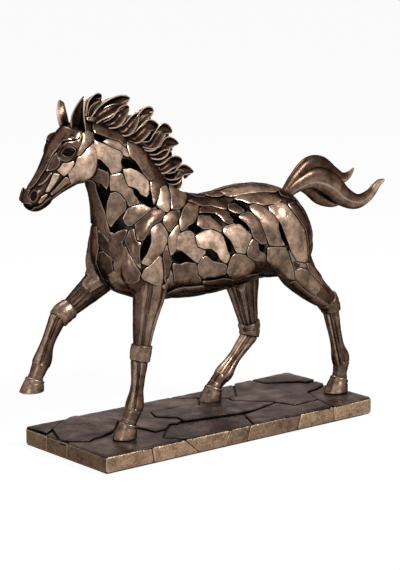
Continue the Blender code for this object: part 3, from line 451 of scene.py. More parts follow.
# Grooves down the leg pieces: angle in degrees at the upper and at the lower end, 0 facing the head.
LEG_GROOVES = {
    "left_fore": {
        "forearm": [(-53, -45), (-64, -71), (-118, -112), (22, 18), (80, 85), (140, 150), (190, 185)],
        "cannon": [(-33, -52), (-58, -70), (30, 20), (100, 110), (170, 165)],
    },
    "right_fore": {
        "forearm": [(-20, -15), (-48, -42), (-75, -80), (-112, -110), (40, 35), (95, 100), (170, 170)],
        "cannon": [(-40, -45), (-72, -62), (40, 30), (110, 115), (180, 175)],
    },
    "left_hind": {
        "thigh": [(10, 15), (60, 60), (120, 120), (175, 170)],
        "cannon": [(-35, -40), (-66, -74), (30, 30), (110, 110), (180, 175)],
    },
    "right_hind": {
        "thigh": [(-30, -34), (-64, -58), (-100, -105), (20, 15), (80, 80), (140, 140)],
        "cannon": [(-42, -50), (-66, -72), (30, 30), (110, 110), (180, 175)],
    },
}
# Facets round a leg piece, the step along it, the fewest steps and the places of the rows in a rounded end.
LEG_SIDES = 96
LEG_STEP = 1.2
LEG_FEWEST = 12
LEG_END_ROWS = (0.0, 0.08, 0.27, 0.6)
# Half width of a groove in degrees, and height and size of the unevenness.
GROOVE_SPREAD = 7.0
LEG_ROUGH = 0.25
LEG_ROUGH_SIZE = 6.0
# Share by which a band stands higher at the back of a leg and lower at its front.
BAND_BACK = 0.45
# How far ahead and behind the direction of a leg is read, in stations, for its root and for its pieces.
ROOT_LOOK = 0.05
LEG_LOOK = 0.04

# Swellings melted into the skins: centre on the right side, radii and lean in radians.
# On the trunk the shoulder and the haunch, on the head the cheek, the brow and the nostril.
TRUNK_SWELLINGS = [((-72, 21.5, 133), (17, 9.5, 30), 0.32), ((64, 17.5, 130), (25, 14.5, 31), -0.25)]
HEAD_SWELLINGS = [
    (CHEEK_CENTRE, CHEEK_RADII, 0.0),
    ((-127, 9.4, 214.5), (7.5, 3.4, 6.0), 0.5),
    ((-153.5, 5.2, 181), (4.2, 3.2, 5.0), 0.0),
]
BALL_SIDES = 20
BALL_RINGS = 12
# Rings between two sections and facets round the forms that the skins are melted from.
TRUNK_STEPS = 5
TRUNK_SIDES = 56
ROOT_STEPS = 6
ROOT_SIDES = 32
HEAD_STEPS = 6
HEAD_SIDES = 48
# How many stations of each leg are part of the trunk's skin.
LEG_ROOT = 2.2
# Fineness and smoothing of the two skins.
TRUNK_VOXEL = 1.5
TRUNK_PASSES = 9
HEAD_VOXEL = 0.9
HEAD_PASSES = 6
# Where a line of sight that misses a skin is searched for its nearest point: distance from the camera,
# step and count.
SIGHT_START = 1340
SIGHT_STEP = 4
SIGHT_COUNT = 60
# A face seen more edge-on than this counts as missed.
SIGHT_SLANT = -0.06
# Where a flat plate point is dropped onto a skin: start above the plate, reach, and the least facing.
DROP_START = 13
DROP_REACH = 40
DROP_FACING = 0.15
# Keeps a division away from zero.
TINY = 1e-9

# Finish of the plates: height over the skin, depth of the back, rim rounding, unevenness, fineness, swelling
# and how far the corners of the outline are cut back.
PLATE_FINISH = {
    "lift": 0.6, "sink": 1.9, "rim": 0.55, "rough": 0.2, "step": 2.0, "pillow": 0.8, "corner": 0.07,
}
HEAD_FINISH = {
    "lift": 0.55, "sink": 1.4, "rim": 0.5, "rough": 0.12, "step": 1.4, "pillow": 0.3, "corner": 0.07,
}
CHEEK_FINISH = {**HEAD_FINISH, "pillow": 0.7}
STONE_FINISH = {"sink": 1.6, "rim": 0.55, "step": 2.6, "pillow": 0.0, "corner": 0.05}
KERB_FINISH = {
    "lift": -0.1, "sink": 1.8, "rim": 0.8, "rough": 0.3, "step": 2.0, "pillow": 0.0, "corner": 0.05,
}
# How far the outlines grow once they lie on a skin: traced, made up and on the head.
TRACED_GROWTH = 0.1
HIDDEN_GROWTH = 0.85
HEAD_GROWTH = 0.3
# How far a plate tips, and the distance from its rim over which it swells.
PLATE_TIP = 0.3
PLATE_SWELL = 3.5
# Unevenness of a plate: its long waves, its short waves and their share, and the flat border along the rim.
LONG_WAVE = 7.0
SHORT_WAVE = 2.6
SHORT_SHARE = 0.45
WAVE_BORDER = 1.5
# Edge value at the rim of a plate, and the distance over which it grows by 1.
RIM_EDGE = 0.18
EDGE_RUN = 3.6
# Height of a row of even triangles as a share of their side.
ROW_SHARE = 0.866
# The step in the seed of the unevenness from one plate to the next.
SEED_STEP = 0.37
# Finish of a plate that the table of tones does not name, and of dark faces inside.
PLAIN_TONE = 0.5
DARK_TONE = 0.1

# Inner wall of the trunk: depth under the skin, thickness, finish, and the levels where the legs take over.
LINING_DEPTH = 0.55
LINING_WALL = 1.4
LINING_TONE = 0.3
LINING_FLOOR = 91.5
HIND_CUT = (86, 103)
FORE_CUT = (-86, 113, 8)
# Half the width along the back and belly that no opening cuts.
SEAM_KEPT = 3
# Sizes, as shares of an opening, between which a point is drawn to its rim.
RIM_DRAW = (0.3, 1.8)
# Near-black web between the halves, painted shade that closes the view through the hollow trunk: its ends along
# the trunk, its steps, its gap to the skin and the distance of its two faces from the middle.
WEB_ENDS = (1.2, 18.6)
WEB_STEPS = 12
WEB_GAP = 3.0
WEB_FACES = (0.05, 0.6)

# Crest under the mane: marks along the trunk, facets, radius, rise and where it tapers off.
CREST_START = 10.3
CREST_STEP = 0.2
CREST_COUNT = 43
CREST_SIDES = 24
CREST_RADIUS = 3.4
CREST_RISE = 0.8
CREST_ENDS = (10.2, 19.0)
CREST_TAPERS = (1.2, 0.6)
# Rows of locks, near, far and middle: shift along and up, and share of the traced length.
LOCK_ROWS = {-1: ((0, 0), 1.0), 1: ((1.8, -2.4), 0.94), 0: ((2.6, -4.2), 0.82)}
# Distance of the middle row from the middle, rings along a lock and how blunt its tip is.
LOCK_MIDDLE = 0.4
LOCK_COUNT = 22
LOCK_POINT = 3.6
# Hollowed leaves: depth of the scoop, thickness, finish of the face and of the rim, and facets across.
LOCK_FINISH = {"cup": 0.8, "thick": 3.2, "tone": 0.06, "rim_tone": 0.88, "across": 10}
EAR_FINISH = {"cup": 0.85, "thick": 2.6, "tone": 0.14, "rim_tone": 0.8, "across": 14}
# Places across a leaf run from -1 to 1: where its rim begins, how wide it is, and where the back counts as rim.
LEAF_RIM = 0.6
LEAF_RIM_RUN = 0.4
LEAF_BACK_RIM = 0.9
# Share of the length where the brighter tip of a leaf begins, and the share that it takes up.
LEAF_TIP = 0.7
LEAF_TIP_RUN = 0.3
# Widths below which a leaf's scoop and its back get thinner, and the rounding of the back.
SCOOP_WIDTH = 1.2
BACK_WIDTH = 1.5
BACK_ROUND = 0.72
# Place across a leaf, squared, where the scoop is level with its path.
SCOOP_LEVEL = 0.4
# Height and size of the unevenness of a leaf.
LEAF_ROUGH = 0.12
LEAF_ROUGH_SIZE = 3.0
# Edge value of a leaf's back, at its rim and inside it, and finish of the back.
BACK_RIM_EDGE = 0.34
BACK_EDGE = 0.6
BACK_TONE = 0.4
# Radius of the bead along a leaf's rim, its facets and its edge value.
RIM_BEAD = 0.5
BEAD_SIDES = 6
BEAD_EDGE = 0.36
# Ears: points in the picture from root to tip.
EAR_SPOTS = {
    "left": [(81, 135.5), (78.8, 123), (79.6, 111), (84, 96)],
    "right": [(64.5, 129), (62, 119), (60.2, 109), (59.6, 99.8)],
}
# Distance of an ear's root from the middle, its growth from point to point, half width and rings.
EAR_OUT = 5.8
EAR_SPREAD = 1.7
EAR_WIDTH = 5.2
EAR_COUNT = 24
# Tail locks: angles of the grooves in degrees, facets round and along, width as a share of height
# and depth of a groove.
TAIL_GROOVES = (10, 176)
TAIL_SIDES = 40
TAIL_COUNT = 70
TAIL_FLATNESS = 0.62
TAIL_DEPTH = 0.16
# Half width of a groove in degrees.
TAIL_SPREAD = 16.0

# Eyes and nostrils: place in the picture, tilt, facets and half sizes.
EYE_SPOT = (68.2, 152.0)
EYE_TILT = 0.2
EYE_COUNT = 40
EYE_HALF = (5.0, 3.3)
# Near-black filling of an eye or a nostril, in a nostril painted shade of its opening: height of its rim, depth
# of its middle (below zero swells) and rows.
EYE_FILL = (1.2, -0.9, 6)
NOSTRIL_FILL = (0.75, 0.3, 5)
# Rings round an eye: half length, half height, thickness, finish and height over the skin.
EYE_RINGS = ((6.9, 5.6, 0.8, 0.3, 0.3), (5.2, 3.5, 0.7, 0.46, 1.3))
EYE_EDGE = 0.72
NOSTRIL_SPOT = (33.8, 196.4)
NOSTRIL_TILT = -0.3
NOSTRIL_COUNT = 32
NOSTRIL_HALF = (2.7, 4.1)
# Rim of a nostril: thickness, its change round the rim, where it is thickest, height, finish and edge value.
NOSTRIL_RIM = 0.85
NOSTRIL_SWELL = 0.25
NOSTRIL_PHASE = 2.6
NOSTRIL_LIFT = 0.35
NOSTRIL_TONE = 0.46
NOSTRIL_EDGE = 0.6
# Facets round the rims of eyes and nostrils, and depth of the head's core under its skin.
RING_SIDES = 10
CORE_DEPTH = 0.7

# Slab: reach within which a stone is drawn to the edge, and half widths of the joints.
EDGE_REACH = 3.2
STONE_JOINT = 0.32
KERB_JOINT = 0.25
# Blocks round the sides: height above the underside, top, and the painted shade that darkens the two ends.
KERB_LOW = 0.8
KERB_TOP = -1.2
END_PAINTED_SHADE = 0.4
# Near-black core under the stones, dark in the joints and, partly as painted shadow, along the bottom edge:
# distance from the sides, top and height above the underside.
CORE_INSET = 1.0
CORE_TOP = -2.4
CORE_LIFT = 0.05
# How stippled a stone is that isn't rough.
PLAIN_STONE = 0.08

# Angles in degrees over which an edge is shown sharp.
PLATE_SHARP = 42.0
CAST_SHARP = 50
TAIL_SHARP = 60

# Studio: floor, light and lamps, each lamp with its place, target, size in metres and power in watts.
FLOOR_REACH = 6.0
FLOOR_GLOW = 0.95
FLOOR_COLOUR = (0.9, 0.9, 0.9, 1.0)
SOFT_LIGHT = (0.2, 0.2, 0.2, 1.0)
WHITE = (1.0, 1.0, 1.0, 1.0)
LAMPS = {
    "key": ((0.3, -1.2, 1.15), (0.0, 0.0, 0.15), 0.3, 34.0),
    "fill": ((-1.2, -0.6, 0.55), (0.0, 0.0, 0.13), 0.6, 4.0),
    "top": ((0.1, 0.6, 1.3), (0.0, 0.0, 0.15), 0.6, 9.0),
}
FAR_CLIP = 50.0


def place(p):
    """A point in millimetres above the paving, as a point of the scene in metres."""
    return (p[0] * MM, p[1] * MM, p[2] * MM + PAVING)


def view_axes():
    """The camera's backward, right and up directions."""
    back = Vector((math.sin(VIEW_TURN) * math.cos(VIEW_RISE), -math.cos(VIEW_TURN) * math.cos(VIEW_RISE),
                   math.sin(VIEW_RISE)))
    right = Vector((math.cos(VIEW_TURN), math.sin(VIEW_TURN), 0.0))
    return back, right, back.cross(right)


BACK, RIGHT, UP = view_axes()


def sight(spot):
    """The direction from the camera through one point of the picture."""
    across = (spot[0] - VIEW_MIDDLE[0]) / VIEW_LENS
    rise = (VIEW_MIDDLE[1] - spot[1]) / VIEW_LENS
    return (RIGHT * across + UP * rise - BACK).normalized()


def on_plane(spot, axis, level):
    """Where the line of sight through a picture point meets the plane with one coordinate fixed."""
    ray = sight(spot)
    return VIEW_PLACE + ray * ((level - VIEW_PLACE[axis]) / ray[axis])


def catmull(rows, place_along):
    """A smooth reading of a table of rows at a place counted in rows."""
    i = min(max(int(math.floor(place_along)), 0), len(rows) - 2)
    t = place_along - i
    p1 = np.array(rows[i], float)
    p2 = np.array(rows[i + 1], float)
    p0 = np.array(rows[i - 1], float) if i > 0 else 2 * p1 - p2
    p3 = np.array(rows[i + 2], float) if i + 2 < len(rows) else 2 * p2 - p1
    return 0.5 * (2 * p1 + (p2 - p0) * t + (2 * p0 - 5 * p1 + 4 * p2 - p3) * t * t
                  + (3 * p1 - p0 - 3 * p2 + p3) * t ** 3)


def wobble(p, size, seed=0.0):
    """Smooth repeatable unevenness at one place, from about -1 to 1."""
    return noise.noise(Vector((p[0] / size + seed, p[1] / size - seed, p[2] / size + 2.3 * seed)))


class Body:
    """Collects closed bodies into one mesh, with an edge value and a tone value at each point."""

    def __init__(self):
        self.points = []
        self.faces = []
        self.edge = []
        self.tone = []
        self.slots = []

    def add(self, points, faces, edge, tone, slot=0):
        """Adds one closed body; its tone is one value or one for each point."""
        start = len(self.points)
        self.points += [tuple(p) for p in points]
        self.faces += [tuple(start + i for i in f) for f in faces]
        self.edge += list(edge)
        self.tone += list(tone) if hasattr(tone, "__len__") else [tone] * len(points)
        self.slots += [slot] * len(faces)

    def make(self, name, materials, record_slot, nodes, sharp=CAST_SHARP):
        """The finished piece, riding the root and standing in for its CAD nodes."""
        mesh = bpy.data.meshes.new(name)
        mesh.from_pydata([place(p) for p in self.points], [], self.faces)
        for label, values in (("edge", self.edge), ("tone", self.tone)):
            layer = mesh.attributes.new(label, "FLOAT", "POINT")
            layer.data.foreach_set("value", np.array(values, dtype=np.float32))
        for material in materials:
            mesh.materials.append(material)
        mesh.polygons.foreach_set("material_index", self.slots)
        mesh.polygons.foreach_set("use_smooth", [True] * len(mesh.polygons))
        mesh.set_sharp_from_angle(angle=math.radians(sharp))
        mesh.update()
        piece = bpy.data.objects.new(name, mesh)
        bpy.context.collection.objects.link(piece)
        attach(piece, "root")
        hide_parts(*nodes)


def loft_faces(rings, sides):
    """Quads between rings of equal size, with the two ends filled."""
    faces = []
    for k in range(rings - 1):
        for j in range(sides):
            a = k * sides + j
            b = k * sides + (j + 1) % sides
            faces.append((a, b, b + sides, a + sides))
    faces.append(tuple(range(sides - 1, -1, -1)))
    faces.append(tuple((rings - 1) * sides + j for j in range(sides)))
    return faces


def section_ring(row, fullness, sides):
    """One closed section of the trunk or the head."""
    top = Vector((row[0], 0.0, row[1]))
    low = Vector((row[2], 0.0, row[3]))
    middle = (top + low) / 2
    reach = (top - low) / 2
    ring = []
    for j in range(sides):
        a = 2 * math.pi * j / sides
        ring.append(middle + reach * math.sin(a)
                    + Y_AXIS * (row[4] * math.cos(a) * (1 - fullness * math.sin(a))))
    return ring


def leg_ring(row, travel, y, sides):
    """One ring of a leg: angle 0 faces the head, a quarter turn faces right."""
    fore = Y_AXIS.cross(travel).normalized()
    middle = Vector((row[0], y, row[1]))
    ring = []
    for j in range(sides):
        a = 2 * math.pi * j / sides
        ring.append(middle + fore * (row[2] * math.cos(a)) + Y_AXIS * (row[3] * math.sin(a)))
    return ring


def table_loft(rows, fullness, steps, sides):
    """A smooth closed form through a table of sections."""
    points = []
    count = (len(rows) - 1) * steps + 1
    for k in range(count):
        points += section_ring(catmull(rows, k / steps), fullness, sides)
    return points, loft_faces(count, sides)


def travel_at(rows, spot, look):
    """The direction along a leg at a place counted in its stations."""
    ahead = catmull(rows, min(spot + look, len(rows) - 1))
    behind = catmull(rows, max(spot - look, 0))
    return Vector((ahead[0] - behind[0], 0.0, ahead[1] - behind[1])).normalized()


def leg_loft(rows, y, last, steps, sides):
    """A smooth closed form through the first stations of a leg casting."""
    points = []
    count = int(last * steps) + 1
    for k in range(count):
        points += leg_ring(catmull(rows, k / steps), travel_at(rows, k / steps, ROOT_LOOK), y, sides)
    return points, loft_faces(count, sides)


def ball(centre, radii, lean):
    """A closed egg form, leaned in the side plane."""
    points = []
    for k in range(1, BALL_RINGS):
        b = math.pi * k / BALL_RINGS
        for j in range(BALL_SIDES):
            a = 2 * math.pi * j / BALL_SIDES
            x = radii[0] * math.sin(b) * math.cos(a)
            y = radii[1] * math.sin(b) * math.sin(a)
            z = radii[2] * math.cos(b)
            points.append(Vector((centre[0] + x * math.cos(lean) + z * math.sin(lean), centre[1] + y,
                                  centre[2] + z * math.cos(lean) - x * math.sin(lean))))
    faces = [tuple(reversed(f)) for f in loft_faces(BALL_RINGS - 1, BALL_SIDES)]
    return points, faces


def swellings(table):
    """The swellings of a table on both sides of the horse."""
    forms = []
    for side in (-1, 1):
        for (x, y, z), radii, lean in table:
            forms.append(ball((x, side * y, z), radii, lean))
    return forms


def fused(parts, voxel, passes):
    """Several overlapping closed forms melted into one skin, in millimetres."""
    mesh = bpy.data.meshes.new("form")
    points = []
    faces = []
    for part_points, part_faces in parts:
        start = len(points)
        points += [tuple(p) for p in part_points]
        faces += [tuple(start + i for i in f) for f in part_faces]
    mesh.from_pydata(points, [], faces)
    form = bpy.data.objects.new("form", mesh)
    bpy.context.collection.objects.link(form)
    melt = form.modifiers.new("melt", "REMESH")
    melt.mode = "VOXEL"
    melt.voxel_size = voxel
    ease = form.modifiers.new("ease", "SMOOTH")
    ease.factor = 0.5
    ease.iterations = passes
    seen = form.evaluated_get(bpy.context.evaluated_depsgraph_get()).to_mesh()
    skin_points = [v.co.copy() for v in seen.vertices]
    skin_normals = [v.normal.copy() for v in seen.vertices]
    skin_faces = [tuple(p.vertices) for p in seen.polygons]
    bpy.data.objects.remove(form)
    bpy.data.meshes.remove(mesh)
    return skin_points, skin_normals, skin_faces


def trunk_skin():
    """The horse's body with the roots of its legs, as one smooth skin."""
    parts = [table_loft(TRUNK, TRUNK_FULLNESS, TRUNK_STEPS, TRUNK_SIDES)]
    for leg, y in LEG_SIDE.items():
        top = "thigh" if "hind" in leg else "forearm"
        parts.append(leg_loft(LEGS[leg][top], y, LEG_ROOT, ROOT_STEPS, ROOT_SIDES))
    return fused(parts + swellings(TRUNK_SWELLINGS), TRUNK_VOXEL, TRUNK_PASSES)


def head_skin():
    """The head as one smooth skin, with cheeks, brows and nostrils."""
    parts = [table_loft(HEAD, HEAD_FULLNESS, HEAD_STEPS, HEAD_SIDES)]
    return fused(parts + swellings(HEAD_SWELLINGS), HEAD_VOXEL, HEAD_PASSES)


SKIN_POINTS, SKIN_NORMALS, SKIN_FACES = trunk_skin()
SKIN = BVHTree.FromPolygons(SKIN_POINTS, SKIN_FACES)
HEAD_POINTS, HEAD_NORMALS, HEAD_FACES = head_skin()
HEAD_SKIN = BVHTree.FromPolygons(HEAD_POINTS, HEAD_FACES)


def seen_on(skin, spot):
    """Where the line of sight through a picture point meets a skin, or comes nearest to it."""
    ray = sight(spot)
    hit, normal, _, _ = skin.ray_cast(VIEW_PLACE, ray)
    if hit is not None and normal.dot(ray) < SIGHT_SLANT:
        return hit, normal
    best = None
    for k in range(SIGHT_COUNT):
        probe = VIEW_PLACE + ray * (SIGHT_START + SIGHT_STEP * k)
        near, normal, _, gap = skin.find_nearest(probe)
        if best is None or gap < best[2]:
            best = (near, normal, gap)
    return best[0], best[1]


def soften(outline, share):
    """An outline with each corner cut back a little."""
    out = []
    n = len(outline)
    for i in range(n):
        p = np.array(outline[i], float)
        before = np.array(outline[i - 1], float)
        after = np.array(outline[(i + 1) % n], float)
        out.append(p + (before - p) * share)
        out.append(p + (after - p) * share)
    return out


def resample(outline, step):
    """Points along a closed outline, no further apart than the step."""
    out = []
    n = len(outline)
    for i in range(n):
        a = np.array(outline[i], float)
        b = np.array(outline[(i + 1) % n], float)
        count = max(1, int(math.ceil(np.linalg.norm(b - a) / step)))
        for k in range(count):
            out.append(a + (b - a) * k / count)
    return np.array(out)


def edge_distance(points, loop):
    """Distance of each flat point from a closed outline."""
    a = loop[None, :, :]
    b = np.roll(loop, -1, axis=0)[None, :, :]
    p = points[:, None, :]
    span = b - a
    t = np.clip(((p - a) * span).sum(2) / np.maximum((span * span).sum(2), TINY), 0, 1)
    return np.sqrt((((a + span * t[:, :, None]) - p) ** 2).sum(2)).min(1)


def inside(points, loop):
    """Which flat points lie inside a closed outline."""
    x = points[:, 0][:, None]
    y = points[:, 1][:, None]
    ax, ay = loop[:, 0][None, :], loop[:, 1][None, :]
    bx, by = np.roll(loop[:, 0], -1)[None, :], np.roll(loop[:, 1], -1)[None, :]
    cross = ((ay > y) != (by > y)) & (x < (bx - ax) * (y - ay) / np.where(by == ay, TINY, by - ay) + ax)
    return cross.sum(1) % 2 == 1


def area_of(loop):
    """The area of a flat outline, below zero where it runs clockwise."""
    return 0.5 * np.sum(loop[:, 0] * np.roll(loop[:, 1], -1) - np.roll(loop[:, 0], -1) * loop[:, 1])


def quarter_turn(run):
    """Unit directions a quarter turn left of flat steps."""
    return np.stack([-run[:, 1], run[:, 0]], 1) / np.maximum(np.linalg.norm(run, axis=1, keepdims=True), TINY)


def inward_of(loop):
    """The inward direction at each point of a closed outline."""
    tangent = np.roll(loop, -1, axis=0) - np.roll(loop, 1, axis=0)
    return quarter_turn(tangent) * math.copysign(1.0, area_of(loop))


def inset_outline(outline, gap):
    """An outline drawn in by a small gap, or grown where the gap is below zero."""
    pts = np.array(outline, float)
    turn = 1.0 if area_of(pts) > 0 else -1.0
    mean = quarter_turn(pts - np.roll(pts, 1, axis=0)) + quarter_turn(np.roll(pts, -1, axis=0) - pts)
    mean = mean / np.maximum((mean * mean).sum(1, keepdims=True), 0.6) * 2
    return [tuple(p) for p in pts + turn * gap * mean]


def middle_of(spots):
    """The mean place of a list of places and normals."""
    return sum((p for p, _ in spots), Vector()) / len(spots)


def flipped(v):
    """A place or direction on the other side of the horse."""
    return Vector((v.x, -v.y, v.z))


def fill(loop, step, rim):
    """Flat triangles inside an outline: its own points, two rim rows and an inner grid."""
    if area_of(loop) < 0:
        loop = loop[::-1].copy()
    inward = inward_of(loop)
    extra = []
    for depth in (rim * 0.3, rim):
        row = loop + inward * depth
        keep = inside(row, loop) & (edge_distance(row, loop) > depth * 0.8)
        extra.append(row[keep])
    low = loop.min(0)
    high = loop.max(0)
    grid = []
    rows = int((high[1] - low[1]) / (step * ROW_SHARE)) + 1
    for k in range(rows + 1):
        shift = step / 2 if k % 2 else 0.0
        for j in range(int((high[0] - low[0]) / step) + 2):
            grid.append((low[0] + j * step + shift, low[1] + k * step * ROW_SHARE))
    grid = np.array(grid)
    grid = grid[inside(grid, loop)]
    if len(grid):
        grid = grid[edge_distance(grid, loop) > rim + step * 0.45]
    points = np.concatenate([loop] + extra + ([grid] if len(grid) else []))
    ring = list(range(len(loop)))
    out = delaunay_2d_cdt([Vector(p) for p in points], [], [ring], 1, 1e-5)
    flat = np.array([tuple(v) for v in out[0]])
    return flat, [tuple(f) for f in out[2]], edge_distance(flat, loop)


def open_edges(faces):
    """The edges of a sheet of faces that only one face uses, in that face's direction."""
    rims = {}
    for f in faces:
        for a, b in zip(f, f[1:] + f[:1]):
            if (b, a) in rims:
                del rims[(b, a)]
            else:
                rims[(a, b)] = True
    return list(rims)


def tile(body, outline, surface, tone, seed, lift, sink, rim, rough, step, pillow, corner, slot=0):
    """One raised plate: an outline carried onto a surface, with a rounded rim, walls and a closed back."""
    loop = resample(soften(outline, corner), step * 0.75)
    flat, faces, depth = fill(loop, step, rim)
    middle = flat.mean(0)
    span = max(np.abs(flat - middle).max(), 1.0)
    lean = (PLATE_TIP * math.sin(seed * 12.9), PLATE_TIP * math.cos(seed * 7.3))
    top = []
    low = []
    for (u, v), d in zip(flat, depth):
        spot, normal = surface(u, v)
        near = max(0.0, 1 - d / rim)
        drop = rim * (1 - math.sqrt(max(0.0, 1 - near * near)))
        swell = pillow * (1 - math.exp(-d / PLATE_SWELL))
        tilt = (lean[0] * (u - middle[0]) + lean[1] * (v - middle[1])) / span
        waves = wobble(spot, LONG_WAVE, seed) + SHORT_SHARE * wobble(spot, SHORT_WAVE, seed)
        uneven = rough * waves * min(1.0, d / WAVE_BORDER)
        top.append(spot + normal * (lift - drop + swell + tilt + uneven))
        low.append(spot - normal * sink)
    count = len(flat)
    points = top + low
    skin = list(faces) + [tuple(count + i for i in reversed(f)) for f in faces]
    skin += [(b, a, count + a, count + b) for a, b in open_edges(faces)]
    edge = [min(1.0, RIM_EDGE + d / EDGE_RUN) for d in depth] + [0.0] * count
    body.add(points, skin, edge, tone, slot)


def skin_plate(body, skin, spots, tone, seed, grow, finish):
    """A plate laid on a skin: its outline is a list of points and normals on that skin."""
    middle = middle_of(spots)
    normal = sum((n for _, n in spots), Vector())
    _, there, _, _ = skin.find_nearest(middle)
    normal = (normal.normalized() + there).normalized()
    across = normal.orthogonal().normalized()
    along = normal.cross(across)
    outline = [((p - middle).dot(across), (p - middle).dot(along)) for p, _ in spots]
    outline = inset_outline(outline, -grow)

    def surface(u, v):
        """The skin under a flat point of the plate."""
        start = middle + across * u + along * v
        hit, face, _, _ = skin.ray_cast(start + normal * DROP_START, -normal, DROP_REACH)
        if hit is None or face.dot(normal) < DROP_FACING:
            hit, face, _, _ = skin.find_nearest(start)
        return hit, face

    tile(body, outline, surface, tone, seed, **finish)


def material_start(name):
    """A new material with its node tree, shader and object coordinates."""
    material = bpy.data.materials.new(name)
    material.use_nodes = True
    tree = material.node_tree
    shader = tree.nodes["Principled BSDF"]
    coordinates = tree.nodes.new("ShaderNodeTexCoord").outputs["Object"]
    return material, tree, shader, coordinates


def value_of(tree, label):
    """A value stored on the mesh."""
    node = tree.nodes.new("ShaderNodeAttribute")
    node.attribute_name = label
    return node.outputs["Fac"]


def grain(tree, coordinates, size, detail=3.0, roughness=0.55, stretch=None):
    """Cloudy noise with blotches of about the given size in millimetres."""
    node = tree.nodes.new("ShaderNodeTexNoise")
    node.inputs["Scale"].default_value = 1.0 / (size * MM)
    node.inputs["Detail"].default_value = detail
    node.inputs["Roughness"].default_value = roughness
    source = coordinates
    if stretch:
        mapping = tree.nodes.new("ShaderNodeMapping")
        mapping.inputs["Scale"].default_value = stretch
        tree.links.new(coordinates, mapping.inputs["Vector"])
        source = mapping.outputs["Vector"]
    tree.links.new(source, node.inputs["Vector"])
    return node.outputs["Fac"]


def ramp(tree, source, stops):
    """Colours along a value."""
    node = tree.nodes.new("ShaderNodeValToRGB")
    elements = node.color_ramp.elements
    while len(elements) < len(stops):
        elements.new(0.5)
    for element, (spot, colour) in zip(elements, stops):
        element.position = spot
        element.color = (*colour, 1.0) if hasattr(colour, "__len__") else (colour, colour, colour, 1.0)
    tree.links.new(source, node.inputs["Fac"])
    return node.outputs["Color"]


def mixed(tree, mode, factor, first, second):
    """Two colours mixed; the factor is a number or a socket."""
    node = tree.nodes.new("ShaderNodeMix")
    node.data_type = "RGBA"
    node.blend_type = mode
    if isinstance(factor, float):
        node.inputs["Factor"].default_value = factor
    else:
        tree.links.new(factor, node.inputs["Factor"])
    tree.links.new(first, node.inputs["A"])
    tree.links.new(second, node.inputs["B"])
    return node.outputs["Result"]


def multiplied(tree, first, second, share=1.0):
    """A colour multiplied by another, in full or in part."""
    return mixed(tree, "MULTIPLY", share, first, second)


def set_values(shader, values):
    """Plain values of a shader."""
    for label, value in values.items():
        shader.inputs[label].default_value = value


def bumped(tree, shader, layers):
    """Stacked bump layers: (height socket, strength, depth in millimetres)."""
    last = None
    for height, strength, depth in layers:
        node = tree.nodes.new("ShaderNodeBump")
        node.inputs["Strength"].default_value = strength
        node.inputs["Distance"].default_value = depth * MM
        tree.links.new(height, node.inputs["Height"])
        if last:
            tree.links.new(last, node.inputs["Normal"])
        last = node.outputs["Normal"]
    tree.links.new(last, shader.inputs["Normal"])


def hollow_patina_and_shade(tree, reach):
    """Darkening in hollows within the given reach in millimetres: partly dark patina, partly painted shade in
    creases and painted shadow round the hooves.
    """
    node = tree.nodes.new("ShaderNodeAmbientOcclusion")
    node.samples = 6
    node.inputs["Distance"].default_value = reach * MM
    return ramp(tree, node.outputs["AO"], [(0.3, 0.22), (0.6, 0.62), (0.95, 1.0)])


def bronze(name, dark, middle, light, rim, shine):
    """Patinated cast bronze: toned plates (tones partly painted light), dark grooves, worn rims, mottling, fine
    pits, and painted shade with patina in hollows.
    """
    material, tree, shader, coordinates = material_start(name)
    tone = value_of(tree, "tone")
    edge = value_of(tree, "edge")
    base = ramp(tree, tone, [(0.0, dark), (0.5, middle), (1.0, light)])
    clouds = ramp(tree, grain(tree, coordinates, 16.0, 4.0), [(0.36, 0.55), (0.5, 0.95), (0.64, 1.22)])
    base = multiplied(tree, base, clouds)
    streaks = ramp(tree, grain(tree, coordinates, 5.0, 5.0, 0.65), [(0.36, 0.55), (0.52, 1.0), (0.66, 1.22)])
    base = multiplied(tree, base, streaks)
    worn = ramp(tree, edge, [(0.27, 0.0), (0.33, 0.5), (0.42, 0.06), (0.6, 0.0)])
    rims = ramp(tree, tone, [(0.0, tuple(c * 0.55 for c in rim)), (1.0, rim)])
    base = mixed(tree, "MIX", worn, base, rims)
    groove = ramp(tree, edge, [(0.0, 0.05), (0.2, 0.09), (0.26, 0.45), (0.31, 0.78), (0.95, 1.0)])
    base = multiplied(tree, base, groove)
    pits = ramp(tree, grain(tree, coordinates, 1.7, 2.0, 0.5), [(0.29, 0.3), (0.36, 1.0)])
    base = multiplied(tree, base, pits, 0.85)
    # Painted shade and patina in hollows and between parts.
    base = multiplied(tree, base, hollow_patina_and_shade(tree, 7.0))
    tree.links.new(base, shader.inputs["Base Color"])
    polish = ramp(tree, grain(tree, coordinates, 9.0, 4.0), [(0.35, shine + 0.14), (0.65, shine - 0.06)])
    tree.links.new(polish, shader.inputs["Roughness"])
    set_values(shader, {
        "Metallic": 0.92,
        "Specular IOR Level": 0.1,
        "Specular Tint": (0.13, 0.09, 0.07, 1.0),
    })
    bumped(tree, shader, [(grain(tree, coordinates, 6.0, 3.0), 0.35, 0.5),
                          (grain(tree, coordinates, 1.3, 3.0), 0.25, 0.2), (pits, 0.3, 0.2)])
    return material


